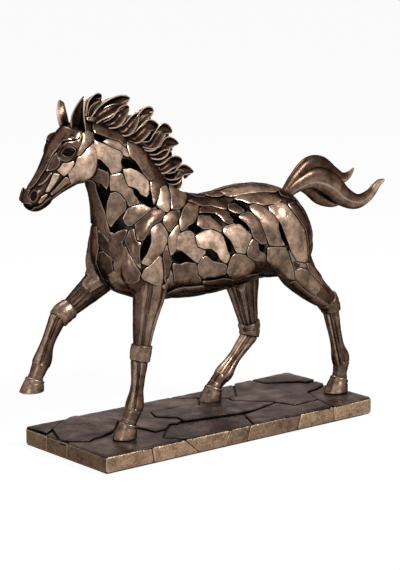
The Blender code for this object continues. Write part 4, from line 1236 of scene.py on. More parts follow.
def shade_and_joint_black():
    """Near black bronze of the inner walls and joints, painted shade for the dark inside of the hollow trunk
    and the core under the stones.
    """
    material, tree, shader, coordinates = material_start("shade_and_joint_black")
    clouds = ramp(tree, grain(tree, coordinates, 7.0, 5.0),
                  [(0.35, (0.004, 0.003, 0.002)), (0.7, (0.016, 0.01, 0.007))])
    tree.links.new(clouds, shader.inputs["Base Color"])
    set_values(shader, {"Metallic": 0.3, "Roughness": 0.75})
    bumped(tree, shader, [(grain(tree, coordinates, 2.0, 4.0), 0.5, 0.4)])
    return material


def eye_bronze_and_nostril_shade():
    """Dark polished bronze of the eyes, also the near-black painted shade that fills the nostrils."""
    material, tree, shader, coordinates = material_start("eye_bronze_and_nostril_shade")
    clouds = ramp(tree, grain(tree, coordinates, 2.0, 3.0),
                  [(0.3, (0.002, 0.0015, 0.001)), (0.7, (0.006, 0.004, 0.003))])
    tree.links.new(clouds, shader.inputs["Base Color"])
    set_values(shader, {"Specular IOR Level": 0.02, "Roughness": 0.3})
    return material


def paving_bronze():
    """Dark grey brown flagstones: the tone value is how stippled a stone is; hollows and the paving round the
    hooves get painted shade.
    """
    material, tree, shader, coordinates = material_start("paving_bronze")
    tone = value_of(tree, "tone")
    edge = value_of(tree, "edge")
    clouds = ramp(tree, grain(tree, coordinates, 22.0, 5.0, 0.6),
                  [(0.32, (0.013, 0.009, 0.0078)), (0.5, (0.046, 0.033, 0.029)),
                   (0.68, (0.125, 0.094, 0.082))])
    specks = ramp(tree, grain(tree, coordinates, 1.6, 2.0, 0.6), [(0.4, 0.35), (0.55, 1.2)])
    base = multiplied(tree, clouds, specks, tone)
    fine = ramp(tree, grain(tree, coordinates, 0.9, 2.0), [(0.35, 0.78), (0.65, 1.15)])
    base = multiplied(tree, base, fine)
    groove = ramp(tree, edge, [(0.0, 0.12), (0.16, 0.3), (0.24, 1.0)])
    base = multiplied(tree, base, groove)
    # Painted shadow round the hooves and shade in the joints, with patina.
    base = multiplied(tree, base, hollow_patina_and_shade(tree, 9.0))
    tree.links.new(base, shader.inputs["Base Color"])
    polish = ramp(tree, grain(tree, coordinates, 12.0, 4.0), [(0.35, 0.42), (0.65, 0.22)])
    tree.links.new(polish, shader.inputs["Roughness"])
    set_values(shader, {
        "Metallic": 0.45,
        "Specular IOR Level": 0.05,
        "Specular Tint": (0.5, 0.38, 0.32, 1.0),
    })
    stipple = multiplied(tree, grain(tree, coordinates, 1.6, 2.0, 0.6), tone)
    bumped(tree, shader, [(grain(tree, coordinates, 8.0, 4.0), 0.3, 0.5), (stipple, 0.9, 0.6),
                          (grain(tree, coordinates, 0.9, 2.0), 0.2, 0.15)])
    return material


def kerb_bronze():
    """Lighter gold bronze blocks of the slab's sides."""
    material, tree, shader, coordinates = material_start("kerb_bronze")
    tone = value_of(tree, "tone")
    edge = value_of(tree, "edge")
    base = ramp(tree, tone, [(0.0, (0.075, 0.048, 0.033)), (1.0, (0.32, 0.205, 0.13))])
    clouds = ramp(tree, grain(tree, coordinates, 9.0, 5.0, 0.6), [(0.34, 0.6), (0.52, 1.0), (0.68, 1.2)])
    base = multiplied(tree, base, clouds)
    specks = ramp(tree, grain(tree, coordinates, 1.5, 2.0, 0.6), [(0.36, 0.45), (0.48, 1.0)])
    base = multiplied(tree, base, specks, 0.8)
    worn = ramp(tree, edge, [(0.16, 0.0), (0.26, 0.5), (0.42, 0.0)])
    rims = ramp(tree, tone, [(0.0, (0.3, 0.22, 0.16)), (1.0, (0.55, 0.42, 0.3))])
    base = mixed(tree, "MIX", worn, base, rims)
    groove = ramp(tree, edge, [(0.0, 0.12), (0.16, 0.4), (0.24, 1.0)])
    base = multiplied(tree, base, groove)
    tree.links.new(base, shader.inputs["Base Color"])
    set_values(shader, {"Roughness": 0.4, "Metallic": 0.75, "Specular Tint": (0.5, 0.38, 0.3, 1.0)})
    bumped(tree, shader, [(grain(tree, coordinates, 4.5, 2.0), 1.0, 1.4), (specks, 0.7, 0.3)])
    return material


def steel():
    """Drawn steel wire."""
    material, tree, shader, coordinates = material_start("drawn_steel")
    lines = ramp(tree, grain(tree, coordinates, 0.8, 3.0, 0.6, (1.0, 1.0, 0.08)),
                 [(0.35, (0.32, 0.32, 0.33)), (0.65, (0.55, 0.55, 0.56))])
    tree.links.new(lines, shader.inputs["Base Color"])
    set_values(shader, {"Metallic": 1.0, "Roughness": 0.35})
    bumped(tree, shader, [(grain(tree, coordinates, 0.6, 2.0), 0.3, 0.1)])
    return material


def felt():
    """Matted dark felt."""
    material, tree, shader, coordinates = material_start("matted_felt")
    fibres = ramp(tree, grain(tree, coordinates, 0.7, 6.0, 0.75),
                  [(0.35, (0.012, 0.02, 0.014)), (0.65, (0.04, 0.06, 0.045))])
    tree.links.new(fibres, shader.inputs["Base Color"])
    set_values(shader, {"Roughness": 0.95, "Sheen Weight": 0.4})
    bumped(tree, shader, [(grain(tree, coordinates, 0.5, 4.0), 0.7, 0.3)])
    return material


PLATE_BRONZE = bronze("plate_bronze", (0.02, 0.0115, 0.0075), (0.11, 0.066, 0.046), (0.66, 0.46, 0.335),
                      (0.82, 0.64, 0.5), 0.26)
SHADE_AND_JOINT_BLACK = shade_and_joint_black()
EYE_BRONZE_AND_NOSTRIL_SHADE = eye_bronze_and_nostril_shade()
PAVING_BRONZE = paving_bronze()
KERB_BRONZE = kerb_bronze()
STEEL = steel()
FELT = felt()


def mirrored(spots):
    """The same points on the other side of the horse."""
    return [(flipped(p), flipped(n)) for p, n in reversed(spots)]


# Places along the trunk are read in quarters of a section.
QUARTERS = 4
SECTION_ROWS = [catmull(TRUNK, k / QUARTERS) for k in range(QUARTERS * (len(TRUNK) - 1) + 1)]
SECTION_TOPS = np.array([(r[0], r[1]) for r in SECTION_ROWS])
SECTION_LOWS = np.array([(r[2], r[3]) for r in SECTION_ROWS])


def trunk_place(p):
    """How far along the trunk a point lies, counted in sections from the rump."""
    spot = np.array((p[0], p[2]))
    span = SECTION_LOWS - SECTION_TOPS
    t = np.clip(((spot - SECTION_TOPS) * span).sum(1) / (span * span).sum(1), 0, 1)
    gap = ((SECTION_TOPS + span * t[:, None] - spot) ** 2).sum(1)
    return gap.argmin() / QUARTERS


def shell_of(p):
    """The name of the trunk casting that holds a point."""
    spot = trunk_place(p)
    side = "left" if p[1] < 0 else "right"
    for casting, (_, last) in TRUNK_SPLITS.items():
        if spot < last:
            return casting + "_shell_" + side
    return "neck_shell_" + side


SHELLS = {c + "_shell_" + s: Body() for c in TRUNK_SPLITS for s in ("left", "right")}
LEG_BODIES = {leg + "_" + part: Body() for leg, parts in LEGS.items() for part in parts}
HEAD_BODY = Body()
CHEEKS = {"left": Body(), "right": Body()}


def spread_out(outlines):
    """Outlines grown in the picture until each nearly meets its neighbours."""
    loops = {name: resample(outline, TRACE_STEP) for name, outline in outlines.items()}
    grown = {}
    for name, loop in loops.items():
        room = np.full(len(loop), AMPLE_ROOM)
        for other, there in loops.items():
            if other != name:
                room = np.minimum(room, edge_distance(loop, there))
        reach = np.clip((room - PLATE_JOINT) / 2, 0.0, PLATE_SPREAD)
        reach = (np.roll(reach, 1) + 2 * reach + np.roll(reach, -1)) / 4
        grown[name] = (loop, loop - inward_of(loop) * reach[:, None])
    return grown


def clear_spots(traced, grown):
    """Places of a grown outline on the trunk, held back evenly where an opening is in the way."""
    shares = []
    for a, b in zip(traced, grown):
        share = 1.0
        while share > HOLD_LEAST and in_opening(seen_on(SKIN, a + (b - a) * share)[0]):
            share -= HOLD_STEP
        shares.append(share)
    shares = np.array(shares)
    shares = np.minimum(shares, np.minimum(np.roll(shares, 1), np.roll(shares, -1)))
    shares = (np.roll(shares, 1) + 2 * shares + np.roll(shares, -1)) / 4
    return [seen_on(SKIN, a + (b - a) * share) for a, b, share in zip(traced, grown, shares)]


def own_side(spots):
    """Places of a near plate, held on the near side of the seam along the back."""
    held = []
    for p, n in spots:
        if p.y > -BACK_SEAM:
            p, n, _, _ = SKIN.find_nearest(Vector((p.x, -BACK_SEAM, p.z)))
        held.append((p, n))
    return held


def lay_trunk_plates():
    """Lays each traced plate on the near side and its twin on the far side."""
    seed = 0.0
    for name, (traced, grown) in spread_out(PLATES).items():
        seed += SEED_STEP
        # The plate's tone from the table, partly painted highlight and painted shade.
        tone = TONES_WITH_PAINTED_LIGHT.get(name, PLAIN_TONE)
        spots = clear_spots(traced, grown)
        if name not in MIDDLE_PLATES:
            spots = own_side(spots)
        middle = middle_of(spots)
        if name in LEG_PLATES:
            skin_plate(LEG_BODIES["left_hind_thigh"], SKIN, spots, tone, seed, TRACED_GROWTH, PLATE_FINISH)
            continue
        skin_plate(SHELLS[shell_of(middle)], SKIN, spots, tone, seed, TRACED_GROWTH, PLATE_FINISH)
        if name not in MIDDLE_PLATES:
            far = SHELLS[shell_of(flipped(middle))]
            skin_plate(far, SKIN, mirrored(spots), tone, seed + 50, TRACED_GROWTH, PLATE_FINISH)


def hidden_place(direction, side, a, b):
    """Where the line through one point of a made-up outline meets the trunk."""
    start, ray = {
        "down": (Vector((a, side * b, HIGH_START)), Vector((0, 0, -1))),
        "up": (Vector((a, side * b, LOW_START)), Vector((0, 0, 1))),
        "forward": (Vector((END_START, side * a, b)), Vector((-1, 0, 0))),
        "back": (Vector((-END_START, side * a, b)), Vector((1, 0, 0))),
    }[direction]
    hit, normal, _, _ = SKIN.ray_cast(start, ray)
    if hit is None:
        hit, normal, _, _ = SKIN.find_nearest(start + ray * MISS_REACH)
    return hit, normal


def lay_hidden_plates():
    """Plates that the picture does not show: the back, the belly, the rump and the breast."""
    seed = 100.0
    for direction, outlines in HIDDEN_PLATES.items():
        for number, outline in enumerate(outlines):
            tone = HIDDEN_TONES[number % len(HIDDEN_TONES)]
            for side in (-1, 1):
                seed += SEED_STEP
                spots = [hidden_place(direction, side, a, b) for a, b in soften(outline, HIDDEN_CORNER)]
                body = SHELLS[shell_of(middle_of(spots))]
                skin_plate(body, SKIN, spots, tone, seed, HIDDEN_GROWTH, PLATE_FINISH)


def thick_sheet(body, points, normals, faces, depth, wall, tone, slot):
    """A sheet of faces with a thickness: set in from the skin, closed along its open edges."""
    used = sorted({i for f in faces for i in f})
    where = {old: new for new, old in enumerate(used)}
    count = len(used)
    outer = [points[i] - normals[i] * depth for i in used]
    inner = [points[i] - normals[i] * (depth + wall) for i in used]
    sheet = [tuple(where[i] for i in f) for f in faces]
    skin = []
    for f in sheet:
        skin.append(f)
        skin.append(tuple(count + i for i in reversed(f)))
    skin += [(b, a, count + a, count + b) for a, b in open_edges(sheet)]
    start = len(body.slots)
    body.add(outer + inner, skin, [0.6] * count + [0.0] * count, tone, slot)
    # The outer faces take the material of the plates.
    for k in range(len(faces)):
        body.slots[start + 2 * k] = 0


def opening_reach(p, opening):
    """Where a point of a flank lies in an opening, along and across it, with 1 at the rim."""
    x, h, length, width, slope = opening
    a = math.radians(slope)
    along = (p[0] - x) * math.cos(a) + (p[2] - h) * math.sin(a)
    across = (p[2] - h) * math.cos(a) - (p[0] - x) * math.sin(a)
    return along / (length / 2 + OPENING_MARGIN), across / (width / 2 + OPENING_MARGIN)


def in_opening(p):
    """Whether a point of a flank lies in one of the pierced openings."""
    for opening in OPENINGS:
        along, across = opening_reach(p, opening)
        if along ** 2 + across ** 2 < 1:
            return True
    return False


def to_opening_rim(p):
    """A point of a flank moved onto the rim of the opening that it lies next to."""
    best = None
    for opening in OPENINGS:
        x, h = opening[:2]
        size = math.hypot(*opening_reach(p, opening))
        if best is None or abs(size - 1) < abs(best[0] - 1):
            best = (size, Vector((x + (p[0] - x) / size, p[1], h + (p[2] - h) / size)))
    if RIM_DRAW[0] < best[0] < RIM_DRAW[1]:
        return best[1]
    return p


def on_a_leg(p):
    """Whether a point of the skin lies below the trunk, on the root of a leg."""
    hind = p.x > HIND_CUT[0] and p.z < HIND_CUT[1]
    fore = p.x < FORE_CUT[0] and p.z < FORE_CUT[1] and p.y > FORE_CUT[2]
    return p.z < LINING_FLOOR or hind or fore


def lay_lining():
    """The inner wall under the plates, pierced at the openings."""
    sheets = {name: [] for name in SHELLS}
    kept = set()
    cut = set()
    for f in SKIN_FACES:
        p = sum((SKIN_POINTS[i] for i in f), Vector()) / len(f)
        if on_a_leg(p):
            continue
        if abs(p.y) > SEAM_KEPT and in_opening(p):
            cut.update(f)
            continue
        kept.update(f)
        sheets[shell_of(p)].append(f)
    points = [to_opening_rim(p) if i in kept and i in cut else p for i, p in enumerate(SKIN_POINTS)]
    for name, faces in sheets.items():
        # The inner faces take the near-black painted shade of the hollow inside.
        thick_sheet(SHELLS[name], points, SKIN_NORMALS, faces, LINING_DEPTH, LINING_WALL, LINING_TONE, 1)


def web_half(side, first, last):
    """One half of the web between two places along the trunk."""
    low_mark = max(WEB_ENDS[0], first)
    high_mark = min(WEB_ENDS[1], last)
    points = []
    for k in range(WEB_STEPS + 1):
        row = catmull(TRUNK, low_mark + (high_mark - low_mark) * k / WEB_STEPS)
        top = Vector((row[0], 0.0, row[1]))
        low = Vector((row[2], 0.0, row[3]))
        draw = (low - top).normalized() * WEB_GAP
        for y in WEB_FACES:
            points += [top + draw + Y_AXIS * (y * side), low - draw + Y_AXIS * (y * side)]
    faces = []
    for a in range(0, 4 * WEB_STEPS, 4):
        faces += [(a, a + 1, a + 5, a + 4), (a + 3, a + 2, a + 6, a + 7)]
        faces += [(a + 2, a, a + 4, a + 6), (a + 1, a + 3, a + 7, a + 5)]
    end = 4 * WEB_STEPS
    faces += [(0, 2, 3, 1), (end, end + 1, end + 3, end + 2)]
    if side < 0:
        faces = [tuple(reversed(f)) for f in faces]
    return points, faces


def lay_web():
    """A thin near-black web along the seam of the two halves, painted shade that closes the view through the
    hollow trunk.
    """
    for side, name in ((-1, "left"), (1, "right")):
        for casting, (first, last) in TRUNK_SPLITS.items():
            points, faces = web_half(side, first, last)
            # The web takes the near-black painted shade.
            SHELLS[casting + "_shell_" + name].add(points, faces, [0.0] * len(points), DARK_TONE, 1)


def band_swell(bands, m, length):
    """How far the bands swell a leg piece at one place, and how deep a seam lies there."""
    swell = 0.0
    seam = 0.0
    for share, height, half in bands:
        here = math.exp(-((m - share) * length / half) ** 2)
        swell += height * here
        seam = max(seam, here if height < 0 else 0.0)
    return swell, seam


def groove_at(grooves, m, angle):
    """How deep a groove cuts at one place round a leg piece, and the number of the strip there."""
    cut = 0.0
    strip = 0
    for first, second in grooves:
        off = (angle - (first + (second - first) * m) + 180) % 360 - 180
        cut = max(cut, math.exp(-(off / GROOVE_SPREAD) ** 2))
        strip += 1 if off > 0 else 0
    return cut, strip


def leg_part(body, rows, y, grooves, bands, tone, round_off, buried, flat):
    """One cast piece of a leg: a smooth form with lengthwise grooves, bands round it and rounded ends."""
    last = len(rows) - 1
    length = sum(math.hypot(a[0] - b[0], a[1] - b[1]) for a, b in zip(rows, rows[1:]))
    steps = max(LEG_FEWEST, int(length / LEG_STEP))
    ends = [share * round_off / length for share in LEG_END_ROWS]
    marks = sorted(set(ends + [k / steps for k in range(1, steps)] + [1 - m for m in ends]))
    points = []
    edge = []
    tones = []
    for m in marks:
        row = catmull(rows, m * last)
        travel = travel_at(rows, m * last, LEG_LOOK)
        if flat:
            travel = travel.lerp(-Z_AXIS, m).normalized()
        middle = Vector((row[0], y, row[1]))
        end = (1 - m if buried else min(m, 1 - m)) * length
        near = max(0.0, 1 - end / round_off)
        drop = round_off * (1 - math.sqrt(max(0.0, 1 - near * near)))
        worn = min(1.0, 0.2 + end / 3.5)
        swell, seam = band_swell(bands, m, length)
        for j, p in enumerate(leg_ring(row, travel, y, LEG_SIDES)):
            angle = 360.0 * j / LEG_SIDES
            cut, strip = groove_at(grooves, m, angle)
            back = 1 - BAND_BACK * math.cos(math.radians(angle))
            shift = LEG_ROUGH * wobble(p, LEG_ROUGH_SIZE, tone) - drop - GROOVE_DEPTH * cut + swell * back
            points.append(p + (p - middle).normalized() * shift)
            edge.append(min(worn, 1.0 - 0.8 * max(cut, seam)))
            tones.append(tone + STRIP_TONES[strip % len(STRIP_TONES)])
    body.add(points, loft_faces(len(marks), LEG_SIDES), edge, tones)


def seated(part, rows):
    """A leg piece's stations with its hidden ends run on into the neighbouring castings."""
    rows = [tuple(float(v) for v in row) for row in rows]
    if part in ("forearm", "thigh", "pastern"):
        rows = rows + [run_on(rows[-1], rows[-2], SEAT_RUN)]
    if part in ("cannon", "pastern"):
        rows = [run_on(rows[0], rows[1], SEAT_RUN)] + rows
    return rows


def run_on(end, before, length):
    """A station a little past the end of a leg piece, slightly thinner."""
    dx = end[0] - before[0]
    dh = end[1] - before[1]
    size = math.hypot(dx, dh)
    return (end[0] + dx / size * length, end[1] + dh / size * length, end[2] * SEAT_SHARE,
            end[3] * SEAT_SHARE)


def lay_legs():
    """The five cast pieces of each leg."""
    for leg, parts in LEGS.items():
        for part, rows in parts.items():
            body = LEG_BODIES[leg + "_" + part]
            upper = part in ("forearm", "thigh")
            grooves = LEG_GROOVES[leg].get(part, [])
            # Some pieces carry painted highlight or painted shade on top of their tone.
            tone = LEG_TONES[part] + LEG_PAINTED_LIGHT.get(leg + "_" + part, 0.0)
            leg_part(body, seated(part, rows), LEG_SIDE[leg], grooves, LEG_BANDS.get(part, []), tone,
                     LEG_ROUNDING.get(part, END_ROUNDING), buried=upper, flat=part == "hoof")


def bead(body, line, sizes, tone):
    """A thin round rim along a line."""
    n = len(line)
    points = []
    for k in range(n):
        travel = (line[min(k + 1, n - 1)] - line[max(k - 1, 0)]).normalized()
        out = travel.orthogonal().normalized() if k == 0 else (out - travel * out.dot(travel)).normalized()
        for j in range(BEAD_SIDES):
            a = 2 * math.pi * j / BEAD_SIDES
            points.append(line[k] + (out * math.cos(a) + travel.cross(out) * math.sin(a)) * sizes[k])
    body.add(points, loft_faces(n, BEAD_SIDES), [BEAD_EDGE] * len(points), tone)


def cupped(body, path, widths, facing, seed, cup, thick, tone, rim_tone, across):
    """A hollowed leaf along a path: a scooped front with a raised rim, and a rounded back."""
    n = len(path)
    points = []
    edge = []
    tones = []
    rims = {-1: [], 1: []}
    for k in range(n):
        travel = (path[min(k + 1, n - 1)] - path[max(k - 1, 0)]).normalized()
        face = (facing[k] - travel * facing[k].dot(travel)).normalized()
        side = travel.cross(face)
        w = widths[k]
        front = []
        rear = []
        for j in range(across + 1):
            s = 2 * j / across - 1
            scoop = cup * w * (s * s - SCOOP_LEVEL) * min(1.0, w / SCOOP_WIDTH)
            spot = path[k] + side * (w * s) + face * scoop
            back = thick * min(1.0, w / BACK_WIDTH) * (1.0 - BACK_ROUND * s * s)
            front.append((spot, s))
            rear.append((spot - face * back, s))
        rims[-1].append(front[0][0])
        rims[1].append(front[-1][0])
        for spot, s in front:
            points.append(spot + face * LEAF_ROUGH * wobble(spot, LEAF_ROUGH_SIZE, seed))
            rim = max(0.0, (abs(s) - LEAF_RIM) / LEAF_RIM_RUN)
            tip = max(0.0, k / (n - 1) - LEAF_TIP) / LEAF_TIP_RUN
            edge.append(0.7 - 0.36 * rim)
            tones.append(tone + (rim_tone - tone) * max(rim, 0.6 * tip))
        for spot, s in reversed(rear):
            points.append(spot)
            edge.append(BACK_RIM_EDGE if abs(s) > LEAF_BACK_RIM else BACK_EDGE)
            tones.append(rim_tone if abs(s) > LEAF_BACK_RIM else BACK_TONE)
    body.add(points, loft_faces(n, 2 * (across + 1)), edge, tones)
    for line in rims.values():
        bead(body, line, [min(RIM_BEAD, 0.15 + 0.3 * w) for w in widths], rim_tone)


def smooth_path(points, count):
    """Points along a smooth curve through a few points."""
    rows = [tuple(p) for p in points]
    return [Vector(catmull(rows, k * (len(rows) - 1) / (count - 1))) for k in range(count)]


def leaf_width(t, half, blunt):
    """Half width of a leaf along its length, from root to tip."""
    root = (0.5 + 0.5 * math.sin(math.pi * min(1.0, t / 0.5) - math.pi / 2)) * 0.45 + 0.55
    tip = 1.0 if t < 0.45 else max(0.06, (1 - ((t - 0.45) / 0.55) ** blunt))
    return half * max(0.05, root) * tip


def lay_crest(body):
    """The ridge that the locks grow from."""
    points = []
    marks = [CREST_START + CREST_STEP * k for k in range(CREST_COUNT)]
    for m in marks:
        row = catmull(TRUNK, m)
        ahead = catmull(TRUNK, m + 0.05)
        travel = Vector((ahead[0] - row[0], 0.0, ahead[1] - row[1])).normalized()
        up = travel.cross(Y_AXIS)
        if up.z < 0:
            up = -up
        end = min(1.0, (m - CREST_ENDS[0]) / CREST_TAPERS[0], (CREST_ENDS[1] - m) / CREST_TAPERS[1])
        for j in range(CREST_SIDES):
            a = 2 * math.pi * j / CREST_SIDES
            r = CREST_RADIUS * math.sqrt(max(0.02, end)) * (1 + 0.1 * math.cos(6 * a + 3 * m))
            points.append(Vector((row[0], 0.0, row[1])) + up * (r * math.sin(a) + CREST_RISE)
                          + Y_AXIS * (r * 0.95 * math.cos(a)))
    body.add(points, loft_faces(len(marks), CREST_SIDES), [0.45] * len(points), 0.3)


def lock_path(spots, out, side):
    """The line of one lock, bulging out from the middle along its length."""
    slide, shrink = LOCK_ROWS[side]
    reach = side * out if side else LOCK_MIDDLE
    first = on_plane(spots[0], 1, -out * 0.4)
    line = []
    for i, spot in enumerate(spots):
        bulge = math.sin(math.pi * min(1.0, 0.22 + 0.62 * i / (len(spots) - 1)))
        spread = first + (on_plane(spot, 1, -out * bulge) - first) * shrink
        line.append(Vector((spread.x + slide[0], reach * bulge, spread.z + slide[1])))
    return smooth_path(line, LOCK_COUNT)


def lay_mane():
    """The crest ridge and its rows of curling locks."""
    body = Body()
    lay_crest(body)
    shares = [k / (LOCK_COUNT - 1) for k in range(LOCK_COUNT)]
    for number, (spots, half, out) in enumerate(MANE_LOCKS):
        widths = [leaf_width(t, half, LOCK_POINT) for t in shares]
        for side in LOCK_ROWS:
            turn = -1 if side <= 0 else 1
            facing = [Vector((0.05, turn, 0.28 - 0.5 * t)) for t in shares]
            cupped(body, lock_path(spots, out, side), widths, facing, number + 0.31 * side, **LOCK_FINISH)
    body.make("mane_locks", [PLATE_BRONZE], "dark_bronze", ["mane"])


def lay_ears():
    """Two hollowed ears."""
    for side, name in ((-1, "left"), (1, "right")):
        body = Body()
        spots = EAR_SPOTS[name]
        line = [on_plane(spot, 1, side * (EAR_OUT + EAR_SPREAD * i)) for i, spot in enumerate(spots)]
        widths = []
        for k in range(EAR_COUNT):
            t = k / (EAR_COUNT - 1)
            swell = math.sin(math.pi * min(1.0, 0.2 + 0.8 * t)) ** 0.9
            widths.append(0.25 + EAR_WIDTH * swell * (1 - 0.25 * t))
        facing = [Vector((-0.75, side * 0.62, 0.1))] * EAR_COUNT
        cupped(body, smooth_path(line, EAR_COUNT), widths, facing, side + 2.0, **EAR_FINISH)
        body.make("ear_leaf_" + name, [PLATE_BRONZE], "bronze", ["ear_" + name])


def lay_lock(body, number, rows):
    """One flowing lock of the tail with lengthwise grooves."""
    points = []
    edge = []
    tones = []
    last = len(rows) - 1
    for k in range(TAIL_COUNT):
        t = k / (TAIL_COUNT - 1)
        row = catmull(rows, t * last)
        ahead = catmull(rows, min(last, t * last + 0.05))
        behind = catmull(rows, max(0, t * last - 0.05))
        travel = Vector((ahead[0] - behind[0], ahead[1] - behind[1], ahead[2] - behind[2])).normalized()
        across = (Y_AXIS - travel * travel.y).normalized()
        up = travel.cross(across)
        r = max(0.3, row[3])
        twist = 0.5 * math.sin(3.0 * t + number)
        for j in range(TAIL_SIDES):
            a = 2 * math.pi * j / TAIL_SIDES
            cut = 0.0
            for groove in TAIL_GROOVES:
                off = (math.degrees(a - twist) - groove + 180) % 360 - 180
                cut = max(cut, math.exp(-(off / TAIL_SPREAD) ** 2))
            size = 1 - TAIL_DEPTH * cut * min(1.0, r / 3)
            points.append(Vector(row[:3]) + up * (r * size * math.sin(a))
                          + across * (r * TAIL_FLATNESS * size * math.cos(a)))
            edge.append(1.0 - 0.72 * cut)
            tones.append(0.44 + 0.16 * math.sin(a * 2 + number) + 0.9 * max(0.0, t - 0.6))
    body.add(points, loft_faces(TAIL_COUNT, TAIL_SIDES), edge, tones)


def lay_tail():
    """Three flowing locks."""
    body = Body()
    for number, rows in enumerate(TAIL_LOCKS.values()):
        lay_lock(body, number, rows)
    body.make("tail_locks", [PLATE_BRONZE], "bronze", ["tail"], TAIL_SHARP)


def lay_head():
    """The head's dark core, its plates, eyes and nostrils."""
    points = [p - n * CORE_DEPTH for p, n in zip(HEAD_POINTS, HEAD_NORMALS)]
    HEAD_BODY.add(points, HEAD_FACES, [0.5] * len(points), [0.1 + 0.1 * wobble(p, 9.0) for p in points])
    seed = 200.0
    for name, outline in HEAD_PLATES.items():
        seed += SEED_STEP
        spots = [seen_on(HEAD_SKIN, spot) for spot in outline]
        for side, group in (("left", spots), ("right", mirrored(spots))):
            body = CHEEKS[side] if name == "cheek" else HEAD_BODY
            finish = CHEEK_FINISH if name == "cheek" else HEAD_FINISH
            # The plate's tone from the table, partly painted highlight and painted shade.
            skin_plate(body, HEAD_SKIN, group, TONES_WITH_PAINTED_LIGHT[name], seed, HEAD_GROWTH, finish)
    for name, outline in CROSSING_PLATES.items():
        seed += SEED_STEP
        edge = [seen_on(HEAD_SKIN, spot) for spot in outline]
        skin_plate(HEAD_BODY, HEAD_SKIN, edge + mirrored(edge), TONES_WITH_PAINTED_LIGHT[name], seed, HEAD_GROWTH, HEAD_FINISH)
    for side in (-1, 1):
        lay_eye(side)
        lay_nostril(side)


def ring_body(body, middle, across, along, normal, shape, tube, tone, edge_value):
    """A closed ring on a surface: shape gives the flat outline, tube its thickness at each point."""
    n = len(shape)
    sides = RING_SIDES
    points = []
    edge = []
    for i in range(n):
        u, v = shape[i]
        du = shape[(i + 1) % n][0] - shape[i - 1][0]
        dv = shape[(i + 1) % n][1] - shape[i - 1][1]
        size = math.hypot(du, dv)
        out = (across * dv - along * du) / size
        r = tube[i]
        for j in range(sides):
            a = 2 * math.pi * j / sides
            points.append(middle + across * u + along * v + out * (r * math.cos(a))
                          + normal * (r * math.sin(a)))
            edge.append(edge_value - 0.1 * math.sin(a))
    faces = []
    for i in range(n):
        for j in range(sides):
            a = i * sides + j
            b = i * sides + (j + 1) % sides
            c = ((i + 1) % n) * sides + (j + 1) % sides
            d = ((i + 1) % n) * sides + j
            faces.append((a, d, c, b))
    body.add(points, faces, edge, tone)


def face_axes(spot, side):
    """Place and axes on the head at a picture point: middle, forward, up and outward."""
    middle, _ = seen_on(HEAD_SKIN, spot)
    near = []
    for dx, dz in ((0, 0), (2, 0), (-2, 0), (0, 2), (0, -2)):
        _, n, _, _ = HEAD_SKIN.find_nearest(middle + Vector((dx, 0, dz)))
        near.append(n)
    normal = sum(near, Vector()).normalized()
    if side > 0:
        middle = flipped(middle)
        normal = flipped(normal)
    along = (Z_AXIS - normal * normal.z).normalized()
    across = along.cross(normal)
    if across.x < 0:
        across = -across
    return middle, across, along, normal


def tilted(u, v, tilt):
    """A flat point turned by an angle."""
    return (u * math.cos(tilt) - v * math.sin(tilt), u * math.sin(tilt) + v * math.cos(tilt))


def almond(half_length, half_height, tilt, count):
    """A leaf shaped outline with two pointed corners."""
    shape = []
    for i in range(count):
        a = 2 * math.pi * i / count
        rise = half_height * math.sin(a) * (0.35 + 0.65 * abs(math.sin(a)))
        shape.append(tilted(half_length * math.cos(a), rise, tilt))
    return shape


def hollow(shape, middle, across, along, normal, top, deep, rows):
    """A dark filling of an outline, dished inwards, or swollen where the depth is below zero; in a nostril it
    is painted shade.
    """
    points = []
    for k in range(rows):
        share = 1 - k / (rows - 0.4)
        for u, v in shape:
            points.append(middle + across * (u * share) + along * (v * share)
                          + normal * (top - deep * (1 - share * share)))
    HEAD_BODY.add(points, loft_faces(rows, len(shape)), [0.8] * len(points), DARK_TONE, 1)


def lay_eye(side):
    """A black almond eye with a raised lid inside a swollen socket."""
    middle, across, along, normal = face_axes(EYE_SPOT, side)
    for half_length, half_height, tube, tone, lift in EYE_RINGS:
        shape = almond(half_length, half_height, EYE_TILT, EYE_COUNT)
        sizes = [tube * (0.8 + 0.2 * math.sin(2 * math.pi * i / EYE_COUNT)) for i in range(EYE_COUNT)]
        ring_body(HEAD_BODY, middle + normal * lift, across, along, normal, shape, sizes, tone, EYE_EDGE)
    hollow(almond(*EYE_HALF, EYE_TILT, EYE_COUNT), middle, across, along, normal, *EYE_FILL)


def lay_nostril(side):
    """A flared nostril: a raised rim round a dark filling, painted shade of its opening."""
    middle, across, along, normal = face_axes(NOSTRIL_SPOT, side)
    turns = [2 * math.pi * i / NOSTRIL_COUNT for i in range(NOSTRIL_COUNT)]
    wide, high = NOSTRIL_HALF
    shape = [tilted(wide * math.cos(a), high * math.sin(a), NOSTRIL_TILT) for a in turns]
    sizes = [NOSTRIL_RIM + NOSTRIL_SWELL * math.sin(a + NOSTRIL_PHASE) for a in turns]
    rim = middle + normal * NOSTRIL_LIFT
    ring_body(HEAD_BODY, rim, across, along, normal, shape, sizes, NOSTRIL_TONE, NOSTRIL_EDGE)
    # Painted shade fills the nostril.
    hollow(shape, middle, across, along, normal, *NOSTRIL_FILL)


def slab_snap(x, y):
    """A paving point, moved onto the slab's edge where it lies close to it."""
    if abs(abs(x) - SLAB_X) < EDGE_REACH or abs(x) > SLAB_X:
        x = math.copysign(SLAB_X, x)
    if abs(abs(y) - SLAB_Y) < EDGE_REACH or abs(y) > SLAB_Y:
        y = math.copysign(SLAB_Y, y)
    return x, y


